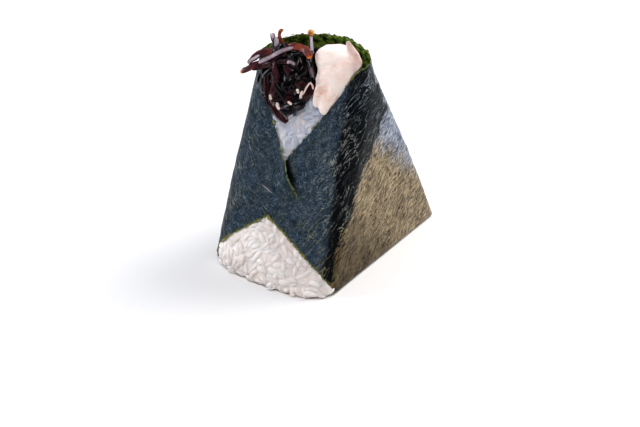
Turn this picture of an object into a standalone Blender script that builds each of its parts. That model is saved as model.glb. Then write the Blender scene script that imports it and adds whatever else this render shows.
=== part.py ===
"""An onigiri: a thick triangular rice ball standing on its base, wrapped like a kimono in one
half sheet of nori, whose open neck holds a heap of simmered kelp strips and a chunk of salmon.

Frame: +Z up, the open neck of the wrapping towards -Y, the two big triangular faces towards +X
and -X. The shapes are worked out about the middle of the wrapping's base. The last step moves
everything so that the origin is under the middle of the whole part's box."""

import math
import random

import bmesh
import bpy
from mathutils import Vector, noise

MM = 0.001

# The rice ball is a leaning frustum. These are its sharp sizes, before its edges are rounded.
BASE_LENGTH = 95.9 * MM
BASE_THICK = 59.2 * MM
TOP_Z = 88.9 * MM
TOP_THICK = 49.8 * MM
TOP_FRONT_Y = -12.0 * MM
TOP_BACK_Y = -5.0 * MM

# How far each face swells past flat halfway up, and how much fuller the narrow top is.
SIDE_BELLY = 0.9 * MM
FRONT_BELLY = 1.0 * MM
BACK_BELLY = 1.4 * MM
NECK_FULLNESS = 1.4 * MM
NECK_START = 56.5 * MM
NECK_RISE = 30 * MM

# The back of the wrapping stands up behind the toppings as a free rim.
CROWN = 5.6 * MM
CROWN_PEAK = 0.78
CROWN_LIFT = 0.45
CROWN_START = 59.5 * MM
CROWN_RISE = 28 * MM
CROWN_ROUNDNESS = 1.3

# Its left end flares outwards a little.
FLARE = 1.5 * MM
FLARE_START = 76 * MM
FLARE_RISE = 12 * MM

# Edge roundings: the four upright edges, and the fold along the base.
FRONT_RIGHT_RADIUS = 3.2 * MM
FRONT_RIGHT_SOFTENING = 0.135
FRONT_LEFT_RADIUS = 8.5 * MM
BACK_RADIUS = 4.2 * MM
BACK_SOFTENING = 0.06
BASE_FOLD = 1.4 * MM
RICE_HEEL = 7.0 * MM

# The nori is a half sheet, 190 mm by 105 mm. Measured round the sharp edges it reaches further
# than its own 190 mm, because the rounded edges cut the corners. Its two ends cross at the front,
# and the left one is cut at a slight slant. Its top edge dips where it turns each back edge.
SHEET_LEFT = 98.8 * MM
SHEET_RIGHT = 105.2 * MM
SHEET_HEIGHT = 105.0 * MM
SHEET_TOP_AT_CENTRE = 104.7 * MM
SHEET_TILT = math.radians(1.1)
END_SLANT = 0.09
RIM_DIPS = ((-27 * MM, 3.6 * MM), (24 * MM, 2.6 * MM))
RIM_DIP_REACH = 15 * MM
RIM_DIP_DEPTH = 12 * MM
SHEET_CELLS = (19, 10)
FRONT_CREASE = 9 * MM
NORI_THICK = 0.5 * MM
CLEARANCE = 0.35 * MM
FLAP_LIFT = 1.0 * MM
FLAP_LIFT_START = 2 * MM
FLAP_LIFT_REACH = 7 * MM
FLAP_EDGE_LIFT = 1.3 * MM
FLAP_EDGE_REACH = 9 * MM
FLAP_EDGE_START = 5 * MM
TUCK_EASE = 0.6
CREASE_REACH = 9 * MM

# The rice.
RICE_TOP = 71.5 * MM
GRAIN = 4.2 * MM
GRAIN_RELIEF = 1.1 * MM
FRONT_BULGE = 6.0 * MM
BULGE_REACH = 10 * MM
BULGE_TOP = 24 * MM
BULGE_FADE = 15 * MM
BULGE_PEAK = 1.5
BULGE_BREADTH = 0.7
RICE_RING_STEP = 2.4 * MM

RICE_COLOUR = (0.86, 0.84, 0.80)
NORI_COLOUR = (0.026, 0.040, 0.044)
KELP_COLOUR = (0.020, 0.009, 0.010)
SALMON_COLOUR = (0.86, 0.62, 0.50)


def smooth(t):
    t = min(max(t, 0.0), 1.0)
    return t * t * (3 - 2 * t)


def mix(a, b, t):
    return a + (b - a) * t


# ---------------------------------------------------------------- the body's surface

def sharp_section(z):
    """Half thickness, front y and back y of the straight frustum at height z."""
    t = z / TOP_Z
    half = mix(BASE_THICK, TOP_THICK, t) / 2
    return half, mix(-BASE_LENGTH / 2, TOP_FRONT_Y, t), mix(BASE_LENGTH / 2, TOP_BACK_Y, t)


def full_section(z):
    """The same with its swelling faces, and the radii of its four upright edges."""
    half, front, back = sharp_section(z)
    swell = 4 * max(0.0, z / TOP_Z * (1 - z / TOP_Z))
    neck = NECK_FULLNESS * smooth((z - NECK_START) / NECK_RISE)
    half += SIDE_BELLY * swell
    front -= FRONT_BELLY * swell + neck
    back += BACK_BELLY * swell + neck
    widest = 0.48 * (back - front)
    back_radius = BACK_RADIUS + BACK_SOFTENING * z
    radii = (FRONT_LEFT_RADIUS, FRONT_RIGHT_RADIUS + FRONT_RIGHT_SOFTENING * z,
             back_radius, back_radius)
    return half, front, back, [min(radius, widest) for radius in radii]


def rounded_rectangle(p, half, front, back, radii):
    """The point at p in 0..4: along the front, right, back and left sides in turn."""
    side = int(p) % 4
    corners = ((-half, front), (half, front), (half, back), (-half, back))
    along = ((1, 0), (0, 1), (-1, 0), (0, -1))[side]
    outward = ((0, -1), (1, 0), (0, 1), (-1, 0))[side]
    length = 2 * half if side % 2 == 0 else back - front
    distance = (p - int(p)) * length
    near, far = radii[side], radii[(side + 1) % 4]
    turn, radius, centre = 0.0, 0.0, distance
    if distance < near:
        radius, centre = near, near
        turn = -(near - distance) / near * math.pi / 4
    elif distance > length - far:
        radius, centre = far, length - far
        turn = (distance - centre) / far * math.pi / 4
    forth = centre + radius * math.sin(turn)
    out = radius * (math.cos(turn) - 1)
    return [corners[side][i] + along[i] * forth + outward[i] * out for i in (0, 1)]


def body_point(p, height, depth, fold=BASE_FOLD):
    """A point on the body, depth inside its skin. A negative height lies folded under the base."""
    under = min(max((fold - height) / (2 * fold), 0.0), 1.0) * math.pi / 2
    inset = fold * (1 - math.cos(under)) + max(-height - fold, 0.0) * TUCK_EASE
    z = height if height > fold else fold * (1 - math.sin(under))
    half, front, back, radii = full_section(z)
    inset += depth * math.cos(under)
    radii = [max(radius - inset, 0.1 * MM) for radius in radii]
    x, y = rounded_rectangle(p, half - inset, front + inset, back - inset, radii)
    crown = 0.0
    if 2 < p < 3:
        crown = CROWN * smooth((z - CROWN_START) / CROWN_RISE)
        crown *= math.sin((p - 2) ** CROWN_PEAK * math.pi) ** CROWN_ROUNDNESS
    elif p >= 3:
        x -= FLARE * smooth((z - FLARE_START) / FLARE_RISE) * math.sin((p - 3) * math.pi)
    return Vector((x, y + crown, z + depth * math.sin(under) + CROWN_LIFT * crown))


# ---------------------------------------------------------------- the sheet, laid flat

# Slant length for each metre of height on each kind of face.
SIDE_SLANT = math.hypot(1, (BASE_THICK - TOP_THICK) / 2 / TOP_Z)
FRONT_SLANT = math.hypot(1, (TOP_FRONT_Y + BASE_LENGTH / 2) / TOP_Z)
BACK_SLANT = math.hypot(1, (BASE_LENGTH / 2 - TOP_BACK_Y) / TOP_Z)

# An upright edge, as seen in the plane of each of the two faces that meet in it. The planes are
# complex numbers: the real part runs from the back round to the front, the imaginary part up.
BACK_EDGE_ON_BACK = (complex(BASE_THICK / 2, 0), complex(TOP_THICK / 2, TOP_Z * BACK_SLANT))
BACK_EDGE_ON_SIDE = (complex(-BASE_LENGTH / 2, 0), complex(-TOP_BACK_Y, TOP_Z * SIDE_SLANT))
FRONT_EDGE_ON_SIDE = (complex(BASE_LENGTH / 2, 0), complex(-TOP_FRONT_Y, TOP_Z * SIDE_SLANT))
FRONT_EDGE_ON_FRONT = (complex(-BASE_THICK / 2, 0), complex(-TOP_THICK / 2, TOP_Z * FRONT_SLANT))
BASE_ON_SIDE = (complex(-BASE_LENGTH / 2, 0), complex(BASE_LENGTH / 2, 0))
SHEET_TURN = complex(math.cos(SHEET_TILT), math.sin(SHEET_TILT))
ON_EDGE = 0.01 * MM
SLIVER = 0.05 * MM


def carry(point, edge, same_edge):
    """Unroll a point from one face's plane into the next, about the edge that they share."""
    turn = (same_edge[1] - same_edge[0]) / (edge[1] - edge[0])
    return same_edge[0] + (point - edge[0]) * turn


def is_past(point, edge):
    return ((point - edge[0]) * (edge[1] - edge[0]).conjugate()).imag < 0


def wrap(flat):
    """The place (p, height) on the body of a point of the unrolled plane."""
    mirrored = flat.real < 0
    point = complex(abs(flat.real), flat.imag)
    if not is_past(point, BACK_EDGE_ON_BACK):
        height = point.imag / BACK_SLANT
        half = sharp_section(height)[0]
        p = 2.5 - point.real / half / 2
    else:
        point = carry(point, BACK_EDGE_ON_BACK, BACK_EDGE_ON_SIDE)
        if not is_past(point, FRONT_EDGE_ON_SIDE):
            height = point.imag / SIDE_SLANT
            _, front, back = sharp_section(height)
            p = 1 + (-point.real - front) / (back - front)
        else:
            point = carry(point, FRONT_EDGE_ON_SIDE, FRONT_EDGE_ON_FRONT)
            height = point.imag / FRONT_SLANT
            half = sharp_section(height)[0]
            p = (half - point.real) / half / 2
    if mirrored:
        p = (5 - p) % 4 if p >= 1 else 1 - p
    return p, height


def unwrap_front(x, height, side):
    """The flat place of a point of the front face, on the right (1) or left (-1) flap."""
    point = complex(-x * side, height * FRONT_SLANT)
    point = carry(point, FRONT_EDGE_ON_FRONT, FRONT_EDGE_ON_SIDE)
    point = carry(point, BACK_EDGE_ON_SIDE, BACK_EDGE_ON_BACK)
    return complex(point.real * side, point.imag)


def unwrap_side(y, height, side):
    point = carry(complex(-y, height * SIDE_SLANT), BACK_EDGE_ON_SIDE, BACK_EDGE_ON_BACK)
    return complex(point.real * side, point.imag)


def sheet_frame(flat):
    """Distances past the sheet's right end, left end and top, negative on the sheet."""
    local = (flat - complex(0, SHEET_TOP_AT_CENTRE)) / SHEET_TURN
    return local.real - SHEET_RIGHT, END_SLANT * local.imag - SHEET_LEFT - local.real, local.imag


def past_flap(flat, side):
    right, left, top = sheet_frame(flat)
    return max(right if side > 0 else left, top)


def bare_distance(x, height):
    """How far a point of the front face lies from the nearest nori."""
    return min(past_flap(unwrap_front(x, height, side), side) for side in (1, -1))


# ---------------------------------------------------------------- mesh helpers

def new_object(name, mesh, collection):
    thing = bpy.data.objects.new(name, mesh)
    collection.objects.link(thing)
    return thing


def mesh_from(bm, name):
    bmesh.ops.recalc_face_normals(bm, faces=bm.faces)
    if bm.calc_volume(signed=True) < 0:
        bmesh.ops.reverse_faces(bm, faces=bm.faces)
    mesh = bpy.data.meshes.new(name)
    bm.to_mesh(mesh)
    bm.free()
    return mesh


def loft(bm, rings):
    """Skin a closed solid through rings of as many points each, and cap both ends."""
    rows = [[bm.verts.new(point) for point in ring] for ring in rings]
    for low, high in zip(rows, rows[1:]):
        for i in range(len(low)):
            j = (i + 1) % len(low)
            bm.faces.new((low[i], low[j], high[j], high[i]))
    bm.faces.new(reversed(rows[0]))
    bm.faces.new(rows[-1])


def subtract(thing, cutter, folded=False):
    """Cut one solid out of another. A folded cutter may overlap itself."""
    cut = thing.modifiers.new("cut by " + cutter.name, 'BOOLEAN')
    cut.operation = 'DIFFERENCE'
    cut.object = cutter
    cut.use_self = folded


def unite(thing, other):
    join = thing.modifiers.new("join " + other.name, 'BOOLEAN')
    join.operation = 'UNION'
    join.object = other


def applied(thing):
    """Take the modifiers off, and give back the mesh that they make, for editing."""
    shape = thing.evaluated_get(bpy.context.evaluated_depsgraph_get())
    bm = bmesh.new()
    bm.from_mesh(shape.to_mesh())
    thing.modifiers.clear()
    return bm


def weld_slivers(thing):
    """Apply the modifiers and close up the slivers that they leave, so that the next cut is clean."""
    bm = applied(thing)
    bmesh.ops.remove_doubles(bm, verts=bm.verts, dist=SLIVER)
    bmesh.ops.dissolve_degenerate(bm, dist=SLIVER, edges=bm.edges)
    bmesh.ops.triangulate(bm, faces=bm.faces)
    bm.to_mesh(thing.data)
    bm.free()


def fill_pockets(thing):
    """Apply the modifiers and keep only the outermost shell, so that no hollow stays sealed in."""
    bm = applied(thing)
    shells, seen = [], set()
    for start in bm.verts:
        if start in seen:
            continue
        shell, edge_of_search = {start}, [start]
        while edge_of_search:
            for e in edge_of_search.pop().link_edges:
                fresh = {v for v in e.verts if v not in shell}
                shell |= fresh
                edge_of_search += fresh
        seen |= shell
        shells.append(shell)
    shells.sort(key=len)
    inner = [v for shell in shells[:-1] for v in shell]
    bmesh.ops.delete(bm, geom=inner, context='VERTS')
    bm.to_mesh(thing.data)
    bm.free()


def material(name, colour, roughness):
    paint = bpy.data.materials.new(name)
    paint.use_nodes = True
    shader = paint.node_tree.nodes["Principled BSDF"]
    shader.inputs["Base Color"].default_value = (*colour, 1)
    shader.inputs["Roughness"].default_value = roughness
    return paint


# ---------------------------------------------------------------- nori

def crease(bm, edge, offsets):
    """Cut the flat sheet along lines beside one of its folds, so that it bends there."""
    start = Vector((edge[0].real, edge[0].imag, 0))
    direction = Vector((edge[1].real, edge[1].imag, 0)) - start
    normal = Vector((direction.y, -direction.x, 0)).normalized()
    low, high = sorted(end.real for end in edge)
    for offset in offsets:
        faces = [f for f in bm.faces if low - CREASE_REACH < f.calc_center_median().x < high + CREASE_REACH]
        edges = {e for f in faces for e in f.edges}
        verts = {v for f in faces for v in f.verts}
        bmesh.ops.bisect_plane(bm, geom=list(verts) + list(edges) + faces,
                               plane_co=start + normal * offset, plane_no=normal)


def flap_depth(flat):
    """The left flap lies over the right one, and its free edge stands off a little more."""
    if flat.real > 0:
        return 0.0
    p, height = wrap(flat)
    if not 0 < p < 1:
        return 0.0
    x = (2 * p - 1) * sharp_section(height)[0]
    over = past_flap(unwrap_front(x, height, 1), 1)
    lift = FLAP_LIFT * (1 - smooth((over - FLAP_LIFT_START) / FLAP_LIFT_REACH))
    from_top = -sheet_frame(flat)[2]
    loose = smooth(1 - from_top / FLAP_EDGE_REACH) * smooth(-over / FLAP_EDGE_START)
    return -lift - FLAP_EDGE_LIFT * loose


def outlined(flat, margin):
    """Dip the sheet's top edge, and widen its outline by margin."""
    right, left, top = sheet_frame(flat)
    sideways = (abs(right) < ON_EDGE) - (abs(left) < ON_EDGE)
    upwards = (abs(top) < ON_EDGE) - (abs(top + SHEET_HEIGHT) < ON_EDGE)
    dip = sum(deep * smooth(1 - abs(flat.real - place) / RIM_DIP_REACH) for place, deep in RIM_DIPS)
    dip *= max(1 + top / RIM_DIP_DEPTH, 0)
    return flat + complex(margin * sideways, margin * upwards - dip) * SHEET_TURN


def sheet_mesh(name, margin, outer, inner):
    """The flat sheet as a slab, creased and then wrapped, with its faces at two depths."""
    bm = bmesh.new()
    bmesh.ops.create_grid(bm, x_segments=SHEET_CELLS[0], y_segments=SHEET_CELLS[1], size=0.5)
    for v in bm.verts:
        below = (v.co.y - 0.5) * SHEET_HEIGHT
        along = mix(END_SLANT * below - SHEET_LEFT, SHEET_RIGHT, v.co.x + 0.5)
        flat = complex(along, below) * SHEET_TURN
        v.co = (flat.real, flat.imag + SHEET_TOP_AT_CENTRE, 0)
    base, front = [[carry(end, BACK_EDGE_ON_SIDE, BACK_EDGE_ON_BACK) for end in edge]
                   for edge in (BASE_ON_SIDE, FRONT_EDGE_ON_SIDE)]
    for side in (1, -1):
        for edge, radius, places in ((BACK_EDGE_ON_BACK, BACK_RADIUS, (-1, -0.35, 0.35, 1)),
                                     (front, FRONT_CREASE, (-1, -0.4, 0.1, 0.6, 1.2)),
                                     (base, BASE_FOLD, (-1, 0, 1))):
            crease(bm, [complex(end.real * side, end.imag) for end in edge],
                   [place * radius for place in places])
    crease(bm, [complex(end, 0) for end in (-BASE_THICK / 2, BASE_THICK / 2)],
           [place * BASE_FOLD * BACK_SLANT for place in (-1, 0, 1)])
    bmesh.ops.triangulate(bm, faces=bm.faces[:])
    for v in bm.verts:
        flat = outlined(complex(v.co.x, v.co.y), margin)
        v.co = (flat.real, flat.imag, 0)
    bmesh.ops.solidify(bm, geom=bm.faces[:], thickness=inner - outer)
    top = max(v.co.z for v in bm.verts)
    for v in bm.verts:
        flat = complex(v.co.x, v.co.y)
        v.co = body_point(*wrap(flat), flap_depth(flat) + outer + top - v.co.z)
    return mesh_from(bm, name)


def make_nori(collection, paint):
    mesh = sheet_mesh("nori_sheet", 0, 0, NORI_THICK)
    nori = new_object("nori_sheet", mesh, collection)
    nori.data.materials.append(paint)
    return nori


def make_sheet_room(collection):
    """The room that the wrapping presses into the rice and the toppings, with a clearance."""
    mesh = sheet_mesh("sheet_room", CLEARANCE, -2.0 * MM, NORI_THICK + CLEARANCE)
    return new_object("sheet_room", mesh, collection)


# ---------------------------------------------------------------- rice

def rice_point(p, height, fold):
    """The skin of the rice: lumpy with grains where it is bare, and bulging at the front's foot."""
    half, front, back = sharp_section(height)
    place = body_point(p, height, 0, fold)
    if p < 1:
        bare = bare_distance((2 * p - 1) * half, height)
    else:
        side = 1 if p < 2 else -1
        y = mix(front, back, p - 1 if side > 0 else 4 - p)
        bare = past_flap(unwrap_side(y, height, side), side) if not 2 <= p <= 3 else -1.0
    if bare <= 0 or height < -fold:
        return place
    low = smooth((BULGE_TOP - height) / BULGE_FADE) if p < 1 else 0.0
    across = math.sin(min(p, 1) ** BULGE_PEAK * math.pi) ** BULGE_BREADTH
    bulge = FRONT_BULGE * smooth(bare / BULGE_REACH) * low * across
    nearest = noise.voronoi(place / GRAIN)[0][0]
    relief = GRAIN_RELIEF * (0.75 - nearest) * smooth(bare / (3 * MM))
    outward = body_point(p, height, -1 * MM, fold) - place
    lifted = place + outward * (bulge + relief) / MM
    lifted.z = max(lifted.z, 0)
    return lifted


def rice_heel(p):
    """The rice's bottom edge is rounder at the front and its left corner than along the sides."""
    if p < 1:
        return mix(RICE_HEEL, BASE_FOLD, smooth((p - 0.1) / 0.6))
    return mix(BASE_FOLD, RICE_HEEL, smooth((p - 3.6) / 0.3))


def make_rice(collection, paint, topping_room, sheet_room):
    front = [i / 24 for i in range(24)]
    right = [1 + t for t in (0, 0.03, 0.06, 0.1, 0.2, 0.4, 0.6, 0.8, 0.92, 0.97)]
    back = [2 + t for t in (0, 0.07, 0.14, 0.3, 0.5, 0.7, 0.86, 0.93)]
    left = [3 + t for t in (0, 0.03, 0.08, 0.2, 0.4, 0.6)] + [3.7 + i * 0.03 for i in range(10)]
    around = front + right + back + left
    levels = [-i * MM for i in (42, 33, 24, 15)]
    levels += [RICE_HEEL * k / 3 for k in range(-3, 4)]
    while levels[-1] < RICE_TOP - RICE_RING_STEP:
        levels.append(levels[-1] + RICE_RING_STEP)
    rings = []
    for level in levels:
        ring = []
        for p in around:
            fold = rice_heel(p)
            height = level if level > RICE_HEEL or level < -RICE_HEEL else level * fold / RICE_HEEL
            ring.append(rice_point(p, height, fold))
        rings.append(ring)
    crown = rings[-1]
    middle = sum(crown, Vector()) / len(crown)
    for shrink, rise in ((0.85, 2.0), (0.5, 3.0)):
        rings.append([middle.lerp(point, shrink) + Vector((0, 0, rise * MM)) for point in crown])
    bm = bmesh.new()
    loft(bm, rings)
    rice = new_object("rice_ball", mesh_from(bm, "rice_ball"), collection)
    for cutter in topping_room:
        subtract(rice, cutter)
    weld_slivers(rice)
    subtract(rice, sheet_room, folded=True)
    rice.data.materials.append(paint)
    return rice


# ---------------------------------------------------------------- toppings

# Each topping is a lump told by stations up its height: z, left, right, front y and back y, in mm.
KELP_STATIONS = (
    (65.5, -12, -6, -22.5, -19.0), (67.5, -17, -1, -23.5, -12.0), (71.5, -22, 3, -22.8, -2.0),
    (76.5, -24, 3.4, -21.2, 4.0), (81.5, -24, 1.8, -18.8, 5.0), (85.5, -22, 0.6, -16.0, 3.0),
    (88.5, -17, -2, -12.5, -1.0))
SALMON_STATIONS = (
    (68.5, 12, 15, -24.2, -21.8), (70.5, 9.5, 16, -23.9, -18.0), (72.5, 8, 17, -23.0, -12.0),
    (75.5, 6.8, 19, -21.6, -4.0), (78.5, 5.6, 21.2, -20.0, 2.0), (81.5, 4.0, 22.8, -18.4, 3.0),
    (85.5, 1.8, 23.6, -16.2, 2.0), (88.2, 1.4, 23.0, -14.4, 0.0), (90.2, 3.0, 20.8, -12.4, -2.0))
STATION_STEP = 2.0 * MM
RING_POINTS = 22
SQUARENESS = 2.5
CAP_SHRINK = 0.6
CAP_RISE = 0.8 * MM

STRIP_THICK = 1.1 * MM
STRIP_STEPS = 7
STRIP_ROOM = 1.5 * MM
TOWARDS_VIEWER = Vector((0.45, -0.79, 0.42))

# The strips that stand out of the kelp heap: width and the points of each one's bend, in mm.
LONG_STRIP = (3.4, ((-30, -20, 76), (-25.5, -20, 79.5), (-21, -17, 83.5), (-17, -12, 86.5)))
PALE_STRIP = (3.2, ((-22, -18.5, 81.5), (-15, -18, 86), (-8, -14.5, 89.5)))
RED_STRIP = (3.0, ((-10, -14.5, 88.5), (-3, -15, 88), (1.5, -16, 84.5)))
UPRIGHT_STRIP = (3.6, ((-14.5, -11, 83.5), (-17, -11, 88.5), (-20, -10, 93)))
CURLED_STRIP = (1.4, ((-15.5, -9, 85.5), (-17, -9, 90.5), (-16, -9.5, 94), (-14.6, -9.5, 94.5)))
STEM = (1.3, ((-1, -9, 83.5), (-1, -9.5, 89.5), (-1.8, -9, 95.5)))
STEM_KNOB = 1.6 * MM
SIDE_STRIP = (2.6, ((0.0, -17.5, 83.5), (1.4, -21, 78.5), (2.6, -24, 72.5)))
LOW_STRIP = (3.2, ((-9, -24.4, 65), (-3, -24.4, 67.5), (3, -22.4, 71)))
TAIL_STRIP = (3.0, ((-11.5, -22.8, 69.5), (-7.5, -25.0, 65.5), (-2.8, -26.3, 61.5)))
LEFT_STRIP = (2.8, ((-18, -19, 81.5), (-14.5, -22, 75.5), (-15.5, -23.2, 70.5), (-12, -23.6, 67.5)))
PLACED_STRIPS = (LONG_STRIP, PALE_STRIP, RED_STRIP, UPRIGHT_STRIP, CURLED_STRIP, STEM,
                 SIDE_STRIP, LOW_STRIP, TAIL_STRIP, LEFT_STRIP)
SCATTERED_STRIPS = 12
SCATTER_LOW = 70.5 * MM
SCATTER_HIGH = 85.5 * MM
SCATTER_SPILL = 2 * MM


def at_station(stations, z):
    """The four bounds of a lump at height z, eased between its stations."""
    for low, high in zip(stations, stations[1:]):
        if z <= high[0] * MM:
            t = (z / MM - low[0]) / (high[0] - low[0])
            return [mix(a, b, t) * MM for a, b in zip(low[1:], high[1:])]
    return [bound * MM for bound in stations[-1][1:]]


def lump_point(stations, turn, z, margin=0.0):
    """A point of a lump's skin: a rounded oblong section, turn radians round from +X."""
    left, right, front, back = at_station(stations, z)
    power = 2 / SQUARENESS
    across = math.copysign(abs(math.cos(turn)) ** power, math.cos(turn))
    deep = math.copysign(abs(math.sin(turn)) ** power, math.sin(turn))
    return Vector(((left + right) / 2 + across * ((right - left) / 2 + margin),
                   (front + back) / 2 + deep * ((back - front) / 2 + margin), z))


def make_lump(name, stations, collection, margin=0.0):
    """The lump itself, or with a margin the room that it takes."""
    bottom, top = stations[0][0] * MM, stations[-1][0] * MM
    count = round((top - bottom) / STATION_STEP)
    rings = []
    for i in range(count + 1):
        z = mix(bottom, top, i / count)
        ring = [lump_point(stations, 2 * math.pi * k / RING_POINTS, z, margin) for k in range(RING_POINTS)]
        shift = mix(-margin, margin, i / count)
        rings.append([point + Vector((0, 0, shift)) for point in ring])
    for end, way in ((0, -1), (-1, 1)):
        middle = sum(rings[end], Vector()) / RING_POINTS
        cap = [middle.lerp(point, CAP_SHRINK) + Vector((0, 0, way * CAP_RISE)) for point in rings[end]]
        rings.insert(0 if end == 0 else len(rings), cap)
    bm = bmesh.new()
    loft(bm, rings)
    return new_object(name, mesh_from(bm, name), collection)


def curve_through(points, steps):
    """Points along a smooth curve through the given ones."""
    ends = [points[0] * 2 - points[1]] + list(points) + [points[-1] * 2 - points[-2]]
    path = []
    for i in range(steps + 1):
        place = i / steps * (len(points) - 1)
        k = min(int(place), len(points) - 2)
        t = place - k
        a, b, c, d = ends[k:k + 4]
        path.append(0.5 * (2 * b + (c - a) * t + (2 * a - 5 * b + 4 * c - d) * t * t
                           + (3 * b - a - 3 * c + d) * t ** 3))
    return path


def add_strip(name, points, width, facing, collection):
    """A flat strip of kelp, bent along its points, with its broad side towards facing."""
    path = curve_through(points, STRIP_STEPS)
    rings = []
    for i, point in enumerate(path):
        tangent = (path[min(i + 1, STRIP_STEPS)] - path[max(i - 1, 0)]).normalized()
        across = tangent.cross(facing).normalized()
        up = across.cross(tangent)
        half = width / 2 * (0.75 if i in (0, STRIP_STEPS) else 1.0)
        rings.append([point + across * sx * half + up * sy * STRIP_THICK / 2
                      for sx, sy in ((-1, -1), (1, -1), (1, 1), (-1, 1))])
    bm = bmesh.new()
    loft(bm, rings)
    return new_object(name, mesh_from(bm, name), collection)


def scattered_strip(draw):
    """A strip lying over the heap: its points and the way that it faces."""
    turn = draw.uniform(-0.95, -0.05) * math.pi
    z = draw.uniform(SCATTER_LOW, SCATTER_HIGH)
    swing, climb = draw.uniform(0.2, 0.5), draw.uniform(-5, 5) * MM
    points = []
    for k in (-1, 0, 1):
        height = min(max(z + k * climb, SCATTER_LOW - SCATTER_SPILL), SCATTER_HIGH + SCATTER_SPILL)
        points.append(lump_point(KELP_STATIONS, turn + k * swing, height, 0.3 * MM))
    left, right, front, back = at_station(KELP_STATIONS, z)
    outward = points[1] - Vector(((left + right) / 2, (front + back) / 2, z - 3 * MM))
    return points, outward.normalized()


def make_kelp(collection, strips, paint, sheet_room):
    kelp = make_lump("kelp_strips", KELP_STATIONS, collection)
    draw = random.Random(7)
    for i in range(SCATTERED_STRIPS):
        bend, facing = scattered_strip(draw)
        width = draw.uniform(2.0, 3.4) * MM
        unite(kelp, add_strip("scattered_strip_%d" % i, bend, width, facing, strips))
    subtract(kelp, sheet_room, folded=True)
    fill_pockets(kelp)
    for i, (width, points) in enumerate(PLACED_STRIPS):
        bend = [Vector(point) * MM for point in points]
        unite(kelp, add_strip("placed_strip_%d" % i, bend, width * MM, TOWARDS_VIEWER, strips))
    bm = bmesh.new()
    bmesh.ops.create_icosphere(bm, subdivisions=1, radius=STEM_KNOB)
    bmesh.ops.translate(bm, verts=bm.verts, vec=Vector(STEM[1][-1]) * MM)
    unite(kelp, new_object("stem_knob", mesh_from(bm, "stem_knob"), strips))
    fill_pockets(kelp)
    kelp.data.materials.append(paint)
    return kelp


def make_salmon(collection, paint, sheet_room):
    salmon = make_lump("salmon_chunk", SALMON_STATIONS, collection)
    subtract(salmon, sheet_room, folded=True)
    salmon.data.materials.append(paint)
    return salmon


# ---------------------------------------------------------------- assembly

def stand_over_origin(shown):
    """Move everything sideways until the origin is under the middle of the whole part's box."""
    graph = bpy.context.evaluated_depsgraph_get()
    points = [v.co for thing in shown for v in thing.evaluated_get(graph).data.vertices]
    middle = [(min(p[i] for p in points) + max(p[i] for p in points)) / 2 for i in (0, 1)]
    for thing in bpy.data.objects:
        thing.location = (-middle[0], -middle[1], 0)


def main():
    for thing in list(bpy.data.objects):
        bpy.data.objects.remove(thing)
    onigiri = bpy.data.collections.new("onigiri")
    cutting = bpy.data.collections.new("cutters")
    strips = bpy.data.collections.new("strips")
    for collection in (onigiri, cutting, strips):
        bpy.context.scene.collection.children.link(collection)
    make_nori(onigiri, material("nori", NORI_COLOUR, 0.35))
    sheet_room = make_sheet_room(cutting)
    topping_room = [make_lump("kelp_room", KELP_STATIONS, cutting, STRIP_ROOM),
                    make_lump("salmon_room", SALMON_STATIONS, cutting, CLEARANCE)]
    make_rice(onigiri, material("rice", RICE_COLOUR, 0.4), topping_room, sheet_room)
    make_kelp(onigiri, strips, material("kelp", KELP_COLOUR, 0.2), sheet_room)
    make_salmon(onigiri, material("salmon", SALMON_COLOUR, 0.45), sheet_room)
    for cutter in list(cutting.objects) + list(strips.objects):
        cutter.hide_render = True
        cutter.display_type = 'WIRE'
    stand_over_origin(onigiri.objects)


main()
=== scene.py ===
import itertools
import math
import random

import bmesh
import bpy
from mathutils import Matrix, Vector, noise


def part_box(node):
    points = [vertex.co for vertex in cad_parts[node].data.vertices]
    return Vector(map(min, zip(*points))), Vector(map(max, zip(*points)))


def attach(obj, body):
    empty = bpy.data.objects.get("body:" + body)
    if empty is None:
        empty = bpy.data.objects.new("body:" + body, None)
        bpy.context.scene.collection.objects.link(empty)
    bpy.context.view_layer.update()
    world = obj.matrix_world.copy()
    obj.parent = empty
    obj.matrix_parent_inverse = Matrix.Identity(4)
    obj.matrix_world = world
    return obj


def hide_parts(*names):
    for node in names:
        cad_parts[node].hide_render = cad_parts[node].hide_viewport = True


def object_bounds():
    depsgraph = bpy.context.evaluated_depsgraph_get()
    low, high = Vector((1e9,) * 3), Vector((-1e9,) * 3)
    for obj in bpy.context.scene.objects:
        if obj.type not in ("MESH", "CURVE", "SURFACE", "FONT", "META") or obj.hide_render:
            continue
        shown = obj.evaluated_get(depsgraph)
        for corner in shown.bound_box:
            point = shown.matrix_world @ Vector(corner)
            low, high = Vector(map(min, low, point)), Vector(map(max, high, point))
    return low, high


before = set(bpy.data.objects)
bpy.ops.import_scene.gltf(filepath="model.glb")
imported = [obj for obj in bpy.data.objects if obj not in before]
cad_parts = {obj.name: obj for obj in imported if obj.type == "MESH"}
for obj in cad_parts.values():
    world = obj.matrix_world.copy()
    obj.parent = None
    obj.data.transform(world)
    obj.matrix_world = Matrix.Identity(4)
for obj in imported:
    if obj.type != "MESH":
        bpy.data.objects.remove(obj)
cad_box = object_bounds()
MM = 0.001

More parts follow.
